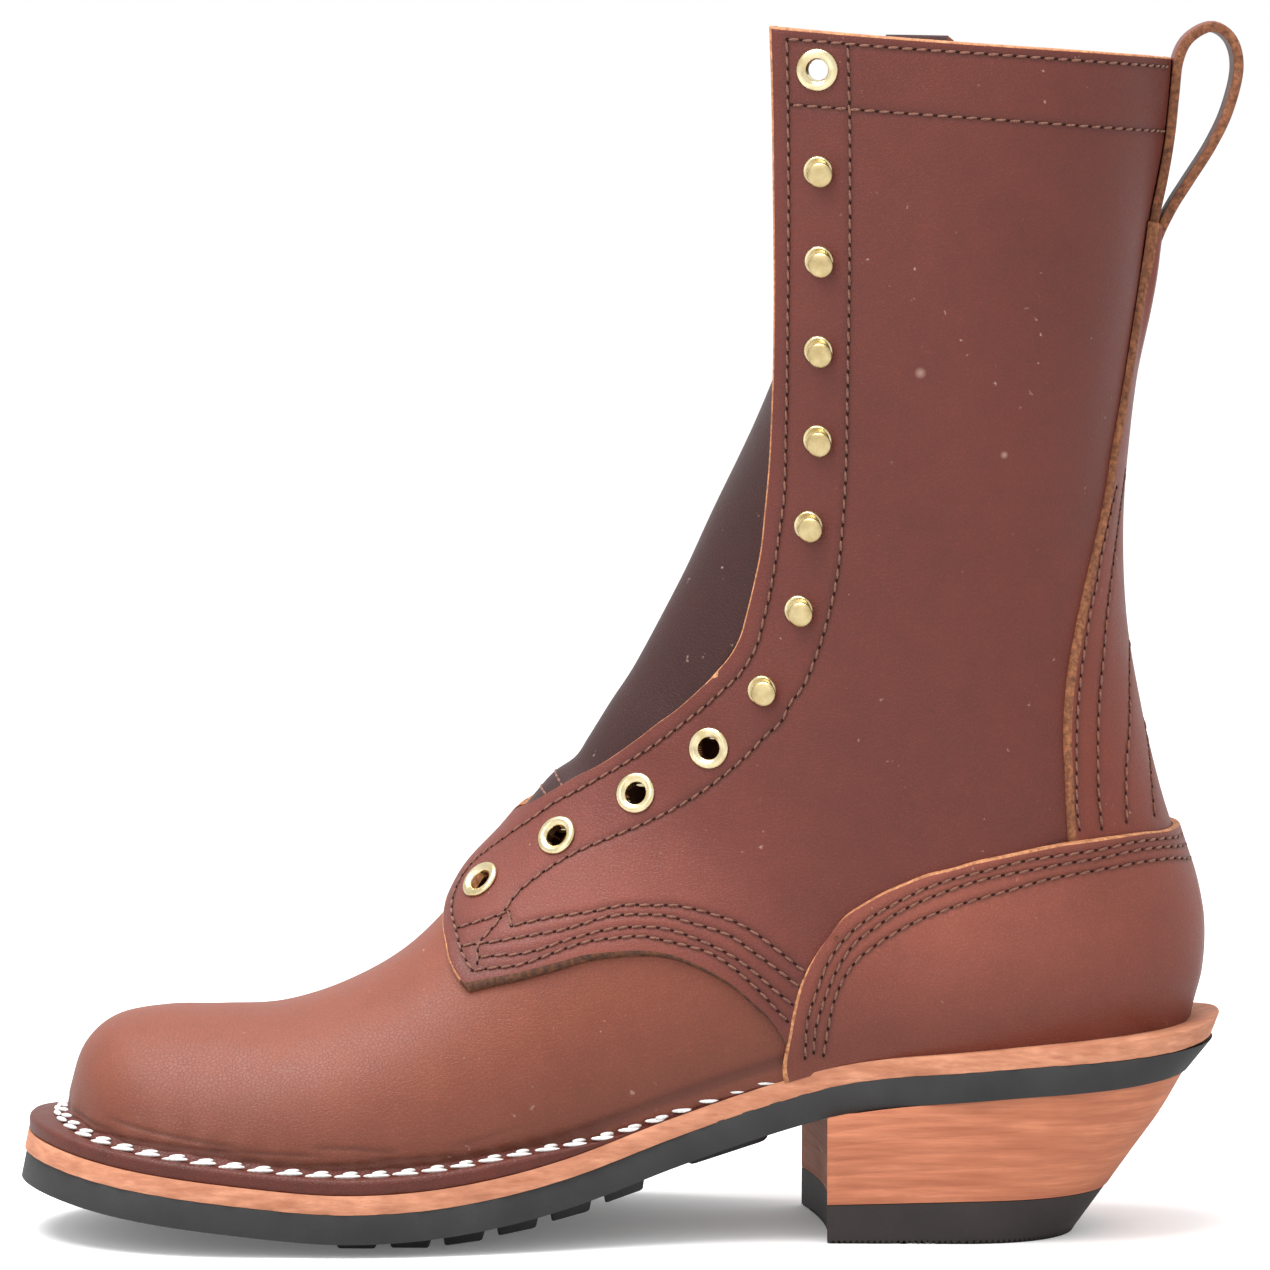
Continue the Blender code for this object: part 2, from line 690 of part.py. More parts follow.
def build_hardware(upper):
    """Eyelets through the facings and hooks on them, the same on both sides."""
    tree = form_tree()
    for side, label in ((-1, "inner"), (1, "outer")):
        for number, (x, z) in enumerate(EYELETS, 1):
            frame = seat_on_form(tree, x, z, side)
            piece = add_piece(f"eyelet_{label}_{number}", eyelet_mesh(), "brass")
            piece.matrix_local = frame
            turn = piece.modifiers.new("turn", "SCREW")
            turn.steps = EYELET_STEPS
            turn.render_steps = EYELET_STEPS
            turn.use_merge_vertices = True
            turn.merge_threshold = 1e-6
            cut(upper, eyelet_hole(f"eyelet_hole_{label}_{number}", frame))
        for number, (x, z) in enumerate(HOOKS, 1):
            piece = loft(f"hook_{label}_{number}", hook_rings(), "brass")
            piece.matrix_local = seat_on_form(tree, x, z, side)


def build_upper():
    """One leather wall, cut open at throat and collar and along the sole."""
    upper = form_shell("upper", 0.0, WALL, -1, "brown_leather")
    cut(upper, SOLE_BLOCK)
    cut(upper, THROAT)
    cut(upper, COLLAR)
    return upper


def build_overlays():
    """Counter and backstay, cut from shells just outside the upper."""
    counter = form_shell("heel_counter", GAP, OVERLAY_THICK, 1, "brown_leather", *COUNTER_SECTIONS)
    outline = list(COUNTER_EDGE) + [(CUTTER_BACK, COUNTER_EDGE[0][1])]
    cut(counter, prism("counter_outline", outline), "INTERSECT")
    cut(counter, SOLE_BLOCK)
    backstay = form_shell("backstay", GAP, OVERLAY_THICK, 1, "brown_leather", *BACKSTAY_SECTIONS)
    outline = list(BACKSTAY_EDGE) + [(CUTTER_BACK, BACKSTAY_TOP), (CUTTER_BACK, BACKSTAY_FOOT)]
    cut(backstay, prism("backstay_outline", outline), "INTERSECT")


def sole_block():
    """Everything under the upper's lower edge, as a cutter."""
    rings = []
    for x in np.linspace(-CUTTER_BACK, CUTTER_BACK, CUTTER_STATIONS):
        top = sole_height(x, UPPER_BASE)
        rings.append([(x, -CUTTER_REACH, CUTTER_BOTTOM), (x, CUTTER_REACH, CUTTER_BOTTOM),
                      (x, CUTTER_REACH, top), (x, -CUTTER_REACH, top)])
    return loft("sole_block", rings)


def collar_block():
    """Everything above the rim, as a cutter that carries the rim's line past both ends."""
    slope = (RIM_BACK[1] - RIM_FRONT[1]) / (RIM_BACK[0] - RIM_FRONT[0])
    front = (-CUTTER_BACK, RIM_FRONT[1] - slope * (RIM_FRONT[0] + CUTTER_BACK))
    back = (CUTTER_BACK, RIM_BACK[1] + slope * (CUTTER_BACK - RIM_BACK[0]))
    return prism("collar", [front, back, (CUTTER_BACK, CUTTER_TOP), (-CUTTER_BACK, CUTTER_TOP)])


def place_origin():
    """The origin is the middle of the boot's box, on the floor."""
    bpy.context.view_layer.update()
    graph = bpy.context.evaluated_depsgraph_get()
    corners = []
    for piece in BOOT.objects:
        if piece.type == "MESH":
            shape = piece.evaluated_get(graph)
            corners.extend(shape.matrix_world @ corner.co for corner in shape.data.vertices)
    corners = np.array(corners)
    middle = (corners.min(axis=0) + corners.max(axis=0)) / 2
    STAND.location = (-middle[0], -middle[1], 0.0)


SOLE_BLOCK = sole_block()
THROAT = prism("throat", list(THROAT_EDGE) + list(THROAT_FRONT))
COLLAR = collar_block()

build_outsole()
sole_slab("midsole", MIDSOLE_BASE, MIDSOLE_TOP, MIDSOLE_ENDS, MIDSOLE_ENDS[1], "tan_leather")
FLANGE = sole_slab("flange", UPPER_BASE, UPPER_BASE + FLANGE_THICK, FLANGE_ENDS, FLANGE_BACK, "dark_leather")
cut(FLANGE, form_solid("flange_inside", GAP))
build_heel()
INSOLE_TOP = UPPER_BASE + INSOLE_THICK
INSOLE = sole_slab("insole", UPPER_BASE, INSOLE_TOP, MIDSOLE_ENDS, MIDSOLE_ENDS[1], "tan_leather")
cut(INSOLE, form_solid("insole_outline", -WALL - INSOLE_EASE), "INTERSECT", "MANIFOLD")
UPPER = build_upper()
build_overlays()
build_tongue()
build_pull_loop()
build_hardware(UPPER)
place_origin()
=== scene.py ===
import math

import bpy
import numpy as np
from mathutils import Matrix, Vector
from mathutils.bvhtree import BVHTree
from mathutils.kdtree import KDTree


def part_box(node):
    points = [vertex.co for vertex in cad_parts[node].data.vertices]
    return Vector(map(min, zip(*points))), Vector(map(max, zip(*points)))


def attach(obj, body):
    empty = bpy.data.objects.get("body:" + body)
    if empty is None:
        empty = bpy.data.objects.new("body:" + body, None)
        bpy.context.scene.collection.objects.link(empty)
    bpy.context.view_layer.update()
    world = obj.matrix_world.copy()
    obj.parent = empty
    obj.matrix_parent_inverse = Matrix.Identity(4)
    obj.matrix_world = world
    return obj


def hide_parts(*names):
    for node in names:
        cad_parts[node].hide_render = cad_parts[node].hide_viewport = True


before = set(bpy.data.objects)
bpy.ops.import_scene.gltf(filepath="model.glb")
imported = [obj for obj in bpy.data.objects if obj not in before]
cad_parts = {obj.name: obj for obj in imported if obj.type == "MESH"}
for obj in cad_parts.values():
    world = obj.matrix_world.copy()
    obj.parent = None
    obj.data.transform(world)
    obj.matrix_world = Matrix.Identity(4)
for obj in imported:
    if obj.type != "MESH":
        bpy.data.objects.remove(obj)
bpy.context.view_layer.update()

# Outsole: one black rubber sheet, cemented under the midsole, its edge trimmed and sanded flush.
# The toe lifts off the floor, the waist rises to the heel, and behind the heel the edge is cut back.
MM = 0.001
TOPLIFT_BACK = 124.4
STAND = np.array((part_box("heel_toplift")[1][0] / MM - TOPLIFT_BACK, 0.0, 0.0))
OUTSOLE_THICK = 7.4
OUTSOLE_ENDS = (-151.4, 151.8)
OUTSOLE_BACK_BELOW = 145.2
TOE_ROUND_FROM = -92.0
TOE_ROUNDNESS = 2.1
HEEL_ROUND_FROM = 112.0
HEEL_ROUNDNESS = 2.3
# x and height of the outsole's underside
SOLE_UNDERSIDE = np.array((
    (-154.4, 14.8), (-129.7, 10.0), (-101.2, 6.4), (-65.7, 3.5), (-37.4, 5.6), (-12.0, 11.2),
    (13.2, 20.0), (35.5, 27.5), (53.6, 32.9), (93.9, 37.7), (134.1, 40.9), (153.7, 42.5)))
# x, middle and half width of the sole's plan
SOLE_PLAN = np.array((
    (-153.2, -9.5, 46.5), (-120.0, -6.0, 50.0), (-92.0, -2.5, 53.0), (-55.0, 0.5, 55.0),
    (-25.0, 3.0, 50.5), (5.0, 5.0, 42.5), (30.0, 4.5, 37.5), (60.0, 2.5, 36.5), (90.0, 0.5, 37.5),
    (112.0, 0.0, 37.5), (153.5, 0.0, 37.5)))


def curve_through(knots, values, where):
    """Smooth curve through a table's values, read at the given places."""
    slopes = np.gradient(values, knots)
    where = np.clip(where, knots[0], knots[-1])
    left = np.clip(np.searchsorted(knots, where) - 1, 0, len(knots) - 2)
    span = knots[left + 1] - knots[left]
    t = (where - knots[left]) / span
    rise = t * t * (3.0 - 2.0 * t)
    start = t * (1.0 - t) ** 2 * span
    end = -t * t * (1.0 - t) * span
    return (values[left] * (1.0 - rise) + values[left + 1] * rise
            + slopes[left] * start + slopes[left + 1] * end)


def curves_through(knots, table, where):
    """Smooth curves through each column of a table."""
    return [curve_through(knots, column, where) for column in table.T]


def underside(x):
    """Height of the outsole's underside."""
    return curve_through(SOLE_UNDERSIDE[:, 0], SOLE_UNDERSIDE[:, 1], x)


def sole_plan(x, ends):
    """Middle line and half width of a sole layer with the given toe and heel ends."""
    middle, half = curves_through(SOLE_PLAN[:, 0], SOLE_PLAN[:, 1:], x)
    toe_run = np.clip((TOE_ROUND_FROM - x) / (TOE_ROUND_FROM - ends[0]), 0.0, 1.0)
    heel_run = np.clip((x - HEEL_ROUND_FROM) / (ends[1] - HEEL_ROUND_FROM), 0.0, 1.0)
    half = half * (1.0 - toe_run ** TOE_ROUNDNESS) ** (1.0 / TOE_ROUNDNESS)
    return middle, half * (1.0 - heel_run ** HEEL_ROUNDNESS) ** (1.0 / HEEL_ROUNDNESS)


def sole_rows(ends, layer):
    """Rows of points over a sole layer's top, close together round the toe and the heel."""
    turn = np.sin(np.radians(np.linspace(89.9, 3.0, 34)))
    toe = TOE_ROUND_FROM + (ends[0] - TOE_ROUND_FROM) * turn
    heel = HEEL_ROUND_FROM + (ends[1] - HEEL_ROUND_FROM) * turn[::-1]
    x = np.concatenate((toe, np.linspace(TOE_ROUND_FROM, HEEL_ROUND_FROM, 90), heel))[:, None]
    middle, half = sole_plan(x, ends)
    y = middle + half * np.linspace(1.0, -1.0, 21)[None, :]
    return np.stack(np.broadcast_arrays(x, y, underside(x) + layer), axis=2)


def places(piece):
    """A piece's points in millimetres, in the tables' frame."""
    flat = np.empty(len(piece.data.vertices) * 3)
    piece.data.vertices.foreach_get("co", flat)
    return flat.reshape(-1, 3) / MM - STAND


def move_to(piece, points):
    """Moves a piece's points to places in millimetres."""
    piece.data.vertices.foreach_set("co", ((points + STAND) * MM).reshape(-1))
    piece.data.update()


def lay_grid(name, points, *materials):
    """Grid primitive with its points moved to rows of places, and its finishes."""
    rows, columns = points.shape[:2]
    bpy.ops.object.select_all(action="DESELECT")
    bpy.ops.mesh.primitive_grid_add(x_subdivisions=columns - 1, y_subdivisions=rows - 1)
    piece = bpy.context.object
    piece.name = name
    piece.data.name = name
    move_to(piece, points)
    for material in materials:
        piece.data.materials.append(material)
    return piece


def pick(piece):
    """Makes a piece the only one selected."""
    bpy.ops.object.select_all(action="DESELECT")
    piece.select_set(True)
    bpy.context.view_layer.objects.active = piece


def apply_step(piece, kind, **settings):
    """A modifier with its settings, applied."""
    pick(piece)
    step = piece.modifiers.new(kind.lower(), kind)
    for name, value in settings.items():
        setattr(step, name, value)
    bpy.ops.object.modifier_apply(modifier=step.name)


def round_edges(piece, width):
    """Rounds a piece's sharp edges by a width in millimetres."""
    apply_step(piece, "BEVEL", width=width * MM, segments=2, limit_method="ANGLE", angle_limit=math.radians(50))


def sole_layer(name, ends, base, thick, back_below, material):
    """One layer of the sole, and its points, drawn in at their lower edge behind the heel."""
    layer = lay_grid(name, sole_rows(ends, base + thick), material)
    apply_step(layer, "SOLIDIFY", thickness=thick * MM, offset=-1.0)
    spots = places(layer)
    below = (spots[:, 0] > HEEL_ROUND_FROM) & (spots[:, 2] < underside(spots[:, 0]) + base + thick / 2)
    draw = (back_below - HEEL_ROUND_FROM) / (ends[1] - HEEL_ROUND_FROM)
    spots[below, 0] = HEEL_ROUND_FROM + (spots[below, 0] - HEEL_ROUND_FROM) * draw
    return layer, spots


def hand_over(piece, slot, *nodes, angle=35.0):
    """Smooths a finished piece, hangs it on the root body and hides the nodes it stands for."""
    pick(piece)
    bpy.ops.object.shade_smooth_by_angle(angle=math.radians(angle))
    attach(piece, "root")
    if nodes:
        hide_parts(*nodes)


def new_material(name, **plain):
    """Material with its shader's plain sockets set, its tree, its shader and its coordinates."""
    material = bpy.data.materials.new(name)
    material.use_nodes = True
    tree = material.node_tree
    shader = tree.nodes["Principled BSDF"]
    for socket, value in plain.items():
        shader.inputs[socket.replace("_", " ")].default_value = value
    return material, tree, shader, add_node(tree, "ShaderNodeTexCoord").outputs["Object"]


def add_node(tree, kind, values=None, **settings):
    """Node with its plain sockets and settings set."""
    node = tree.nodes.new(kind)
    for name, value in settings.items():
        setattr(node, name, value)
    for socket, value in (values or {}).items():
        node.inputs[socket].default_value = value
    return node


def noise(tree, coordinates, scale, detail=4.0, roughness=0.55):
    """Noise at a scale in features per metre."""
    node = add_node(tree, "ShaderNodeTexNoise", {"Scale": scale, "Detail": detail, "Roughness": roughness})
    tree.links.new(coordinates, node.inputs["Vector"])
    return node.outputs["Fac"]


def ramp(tree, value, low, high, start, end):
    """Colour or number that runs from low to high while value runs from start to end."""
    single = isinstance(low, float)
    node = add_node(tree, "ShaderNodeMapRange" if single else "ShaderNodeValToRGB")
    if single:
        for socket, number in (("From Min", start), ("From Max", end), ("To Min", low), ("To Max", high)):
            node.inputs[socket].default_value = number
        tree.links.new(value, node.inputs["Value"])
        return node.outputs["Result"]
    node.color_ramp.elements[0].position = start
    node.color_ramp.elements[1].position = end
    node.color_ramp.elements[0].color = (*low, 1.0)
    node.color_ramp.elements[1].color = (*high, 1.0)
    tree.links.new(value, node.inputs["Fac"])
    return node.outputs["Color"]


def blend(tree, amount, first, second, how="MIX"):
    """Two colours mixed by an amount, each a socket or a plain colour."""
    node = add_node(tree, "ShaderNodeMix", data_type="RGBA", blend_type=how)
    for socket, value in (("Factor_Float", amount), ("A_Color", first), ("B_Color", second)):
        place = next(item for item in node.inputs if item.identifier == socket)
        if isinstance(value, bpy.types.NodeSocket):
            tree.links.new(value, place)
        else:
            place.default_value = value if isinstance(value, float) else (*value, 1.0)
    return next(item for item in node.outputs if item.identifier == "Result_Color")


def sums(tree, first, second, how="ADD"):
    """Two numbers combined, each a socket or a plain number."""
    node = add_node(tree, "ShaderNodeMath", operation=how)
    for place, value in zip(node.inputs, (first, second)):
        if isinstance(value, bpy.types.NodeSocket):
            tree.links.new(value, place)
        else:
            place.default_value = value
    return node.outputs["Value"]


def mixed(tree, *parts):
    """Sum of values, each times its weight."""
    weighed = [sums(tree, value, weight, "MULTIPLY") for value, weight in parts]
    total = weighed[0]
    for part in weighed[1:]:
        total = sums(tree, total, part)
    return total


def finish(tree, shader, colour, gloss, height, depth):
    """Joins a colour, a roughness and a bump to a shader; depth is the height's full swing in millimetres."""
    tree.links.new(colour, shader.inputs["Base Color"])
    tree.links.new(gloss, shader.inputs["Roughness"])
    node = add_node(tree, "ShaderNodeBump", {"Strength": 1.0, "Distance": depth * MM})
    tree.links.new(height, node.inputs["Height"])
    tree.links.new(node.outputs["Normal"], shader.inputs["Normal"])


def rubber(name, dark, light, roughness):
    """Sanded rubber: fine scratches, dust in the grain and a slightly uneven gloss."""
    material, tree, shader, spot = new_material(name, IOR=1.5)
    cloud = noise(tree, spot, 60.0)
    grain = noise(tree, spot, 2400.0, 3.0)
    colour = ramp(tree, sums(tree, cloud, grain, "MULTIPLY"), dark, light, 0.12, 0.45)
    finish(tree, shader, colour, ramp(tree, grain, roughness - 0.12, roughness + 0.1, 0.3, 0.7), grain, 0.09)
    return material


BLACK_RUBBER = rubber("black_rubber_sanded", (0.014, 0.0135, 0.014), (0.036, 0.035, 0.037), 0.66)
outsole, spots = sole_layer("outsole_sheet", OUTSOLE_ENDS, 0.0, OUTSOLE_THICK, OUTSOLE_BACK_BELOW, BLACK_RUBBER)
move_to(outsole, spots)
round_edges(outsole, 0.5)
hand_over(outsole, "black_rubber", "outsole")

# Tread lugs: blocks moulded with the outsole, in rows across the forefoot and waist, and a plain pad
# at the arch. They taper towards the ground and stop short of the sole's edge.
LUG_FROM = -138.0
LUG_LENGTH = 11.6
LUG_PITCH = 13.4
LUG_COUNT = 11
LUG_DEPTH = np.array((
    (-154.4, 0.2), (-129.7, 0.4), (-101.2, 1.2), (-80.0, 2.5), (-65.7, 4.4), (-37.4, 4.6), (60.0, 4.6)))
LUG_COLUMNS = ((-0.76, -0.44), (-0.36, -0.04), (0.04, 0.36), (0.44, 0.76))
PAD = (16.0, 40.0, -0.6, 0.6)


def repeat(piece, frames):
    """Joined copies of a small piece, one for each turn and place in millimetres."""
    mesh = piece.data
    base = places(piece) + STAND
    corners = [np.array(face.vertices) for face in mesh.polygons]
    finishes = [face.material_index for face in mesh.polygons]
    points = np.concatenate([base @ np.asarray(turn).T + np.asarray(place) for turn, place in frames])
    faces = [tuple(corner + copy * len(base)) for copy in range(len(frames)) for corner in corners]
    mesh.clear_geometry()
    mesh.from_pydata(((points + STAND) * MM).tolist(), [], faces)
    mesh.polygons.foreach_set("material_index", finishes * len(frames))
    mesh.update()


bpy.ops.object.select_all(action="DESELECT")
bpy.ops.mesh.primitive_cube_add(size=1.0 * MM)
lugs = bpy.context.object
lugs.name = "tread_lugs"
bpy.ops.object.mode_set(mode="EDIT")
bpy.ops.mesh.select_all(action="DESELECT")
bpy.ops.object.mode_set(mode="OBJECT")
for face in lugs.data.polygons:
    face.select = face.normal.z < -0.5
bpy.ops.object.mode_set(mode="EDIT")
bpy.ops.transform.resize(value=(0.82, 0.86, 1.0))
bpy.ops.object.mode_set(mode="OBJECT")
apply_step(lugs, "BEVEL", width=0.07 * MM, segments=2)
lug_frames = []
blocks = [(LUG_FROM + row * LUG_PITCH, LUG_FROM + row * LUG_PITCH + LUG_LENGTH, *pair)
          for row in range(LUG_COUNT) for pair in LUG_COLUMNS]
for start, stop, inner, outer in blocks + [PAD]:
    x = (start + stop) / 2
    middle, half = sole_plan(x, OUTSOLE_ENDS)
    depth = np.interp(x, LUG_DEPTH[:, 0], LUG_DEPTH[:, 1])
    low = max(underside(x) - depth, 0.0)
    high = underside(x) + 2.5
    slope = (underside(x + 2.0) - underside(x - 2.0)) / 4.0
    turn = np.diag((stop - start, half * (outer - inner), high - low))
    turn[2, 0] = slope * (stop - start) if low > 0.0 else 0.0
    lug_frames.append((turn, (x, middle + half * (inner + outer) / 2, (low + high) / 2)))
repeat(lugs, lug_frames)
lugs.data.materials.append(BLACK_RUBBER)
hand_over(lugs, "black_rubber")

# Midsole: one piece of vegetable-tanned leather between the outsole and the turned-out upper.
# Its edge is cut raw, so the pale orange fibres show all round; behind the heel it curls up a little.
MIDSOLE_THICK = 4.8
MIDSOLE_ENDS = (-151.0, 153.5)
MIDSOLE_BACK_BELOW = 151.2
MIDSOLE_BASE = OUTSOLE_THICK + 0.1
CURL_FROM, CURL_RUN, CURL_RISE = 138.0, 15.0, 1.2
MIDSOLE_TOP = MIDSOLE_BASE + MIDSOLE_THICK


def raw_leather(name, dark, light, layers, direction):
    """Raw cut leather: pale fibres, drawn out along the cut, with darker and lighter layers."""
    material, tree, shader, spot = new_material(name, IOR=1.42)
    stretch = add_node(tree, "ShaderNodeMapping", {"Scale": direction})
    tree.links.new(spot, stretch.inputs["Vector"])
    fibre = noise(tree, stretch.outputs["Vector"], 520.0, 6.0, 0.65)
    band = noise(tree, stretch.outputs["Vector"], layers, 3.0)
    stain = noise(tree, spot, 70.0, 5.0)
    colour = ramp(tree, sums(tree, fibre, band, "MULTIPLY"), dark, light, 0.12, 0.38)
    colour = blend(tree, ramp(tree, stain, 0.0, 0.45, 0.5, 0.75), colour, dark)
    finish(tree, shader, colour, ramp(tree, fibre, 0.55, 0.85, 0.3, 0.7), sums(tree, fibre, band), 0.22)
    return material


TAN_EDGE = raw_leather("midsole_cut_edge", (0.42, 0.155, 0.08), (0.7, 0.315, 0.185), 160.0, (0.35, 0.35, 1.6))
midsole, spots = sole_layer("midsole_leather", MIDSOLE_ENDS, MIDSOLE_BASE, MIDSOLE_THICK, MIDSOLE_BACK_BELOW, TAN_EDGE)
back = np.clip((spots[:, 0] - CURL_FROM) / CURL_RUN, 0.0, 1.0)
spots[:, 2] += CURL_RISE * back * back
wave = 0.16 * np.sin(spots[:, 0] * 0.9) + 0.12 * np.sin(spots[:, 0] * 2.3 + spots[:, 2])
spots[:, 1] += wave * np.sign(spots[:, 1])
move_to(midsole, spots)
round_edges(midsole, 0.3)
hand_over(midsole, "tan_leather", "midsole")

# Heel stack: lifts of sole leather, glued and nailed one on another, then ground to an undershot slope.
# The joints show as faint lines, and the breast is slightly hollow.
HEEL_BREAST = 53.3
BREAST_HOLLOW = 2.5
BREAST_SKEW = -3.3
TOPLIFT_THICK = 9.8
TOPLIFT_WEDGE = 2.0
LIFTS = 6
JOINT_DEPTH = 0.12
# share of the height, back and half width of the stack
STACK = np.array(((0.0, 125.1, 30.6), (0.33, 131.8, 32.4), (0.63, 138.2, 34.2), (1.0, 144.8, 35.8)))


def heel_outline(back, half, around, across, along):
    """Plan of the heel at one level, from the inner breast corner round the back and along the breast."""
    angle = np.pi * (np.linspace(0.0, 1.0, around) - 0.5)
    reach = half * 1.05
    x = back - reach + reach * np.cos(angle) ** (2.0 / HEEL_ROUNDNESS)
    y = half * np.sign(angle) * np.abs(np.sin(angle)) ** (2.0 / HEEL_ROUNDNESS)
    share = np.linspace(1.0, -1.0, across)
    breast = HEEL_BREAST + BREAST_SKEW * (share + 1.0) + BREAST_HOLLOW * (1.0 - share * share)
    side = np.linspace(0.0, 1.0, along + 2)[1:-1]
    inner = np.stack((HEEL_BREAST + (x[0] - HEEL_BREAST) * side, np.full(along, -half)), axis=1)
    outer = np.stack((x[-1] + (breast[0] - x[-1]) * side, np.full(along, half)), axis=1)
    round_back = np.stack((x, y), axis=1)
    front = np.stack((breast, half * share), axis=1)
    ring = np.concatenate((inner, round_back, outer, front))
    return np.concatenate((ring, ring[:1]))


def toplift_top(x):
    """Height of the joint between top lift and stack, which rises a little to the back."""
    return TOPLIFT_THICK + TOPLIFT_WEDGE * np.clip((x - HEEL_BREAST) / (TOPLIFT_BACK - HEEL_BREAST), 0.0, 1.0)


def close_ends(piece):
    """Joins a tube's seam and fills both its ends."""
    pick(piece)
    bpy.ops.object.mode_set(mode="EDIT")
    bpy.ops.mesh.select_all(action="SELECT")
    bpy.ops.mesh.remove_doubles(threshold=1e-6)
    bpy.ops.mesh.fill_holes(sides=0)
    bpy.ops.mesh.normals_make_consistent(inside=False)
    bpy.ops.object.mode_set(mode="OBJECT")


levels = []
for lift in range(LIFTS):
    levels += [(lift + share) / LIFTS for share in (0.02, 0.08, 0.5, 0.92, 0.98)]
rings = []
for level in levels:
    joint = JOINT_DEPTH if abs(level * LIFTS - round(level * LIFTS)) < 0.05 else 0.0
    back_x, half = curves_through(STACK[:, 0], STACK[:, 1:], level)
    outline = heel_outline(back_x - joint, half - joint, 60, 14, 10)
    joint_height = toplift_top(outline[:, 0])
    height = joint_height + 0.1 + level * (underside(outline[:, 0]) - joint_height - 0.15)
    rings.append(np.column_stack((outline, height)))
STACK_LEATHER = raw_leather("heel_stack_ground", (0.42, 0.132, 0.065), (0.65, 0.242, 0.13), 230.0, (0.12, 0.12, 1.5))
stack = lay_grid("heel_lifts", np.array(rings), STACK_LEATHER)
close_ends(stack)
hand_over(stack, "tan_leather", "heel_stack")

# Top lift: the brown-black rubber that wears on the ground, cemented under the stack.
# Its lower edge is moulded with fine teeth.
TEETH = 0.9
# height, back and half width of the lift
TOPLIFT_LEVELS = ((0.0, 116.4, 29.5), (1.1, 117.2, 29.6), (2.0, 118.0, 29.7), (9.2, 124.3, 30.4), (9.8, 124.7, 30.45))
rings = []
for number, (height, back_x, half) in enumerate(TOPLIFT_LEVELS):
    outline = heel_outline(back_x, half, 130, 76, 42)
    heights = np.full(len(outline), height)
    if number == 0:
        heights[1::2] = TEETH
    rings.append(np.column_stack((outline, heights * toplift_top(outline[:, 0]) / TOPLIFT_THICK)))
BROWN_RUBBER = rubber("top_lift_rubber", (0.016, 0.0115, 0.0105), (0.036, 0.027, 0.025), 0.68)
toplift = lay_grid("top_lift", np.array(rings), BROWN_RUBBER)
close_ends(toplift)
hand_over(toplift, "brown_rubber", "heel_toplift")

# Insole: the leather board that the foot stands on, cut to the last and laid inside the upper.
# Hardly any of it shows, so the node's own plain shape is kept.
INSOLE_LEATHER = raw_leather("insole_leather", (0.33, 0.17, 0.09), (0.5, 0.29, 0.17), 60.0, (1.0, 1.0, 1.0))
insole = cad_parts["insole"]
insole.data.materials.clear()
insole.data.materials.append(INSOLE_LEATHER)

# Vamp: oil-tanned leather drawn over the last from the toe to the instep, smooth side out.
# Its sides run back under the quarters, and its lower edge goes down inside the turned-out flange.
VAMP_THICK = 1.8
VAMP_ROWS = 150
VAMP_ACROSS = 181
VAMP_START = 0.62
VAMP_END = 11.6
VAMP_TRAIL = 2.5
UPPER_BASE = MIDSOLE_TOP + 0.1
TOE_CENTRE = (-60.0, -5.0)
PUCKER_DEPTH = 0.32
CREASE_DEPTH = 0.3
# Creases over the flange: height, sway and number of waves of each
CREASES = ((6.6, 0.4, 7.0), (8.0, 0.7, 5.0), (9.8, 1.0, 6.0))
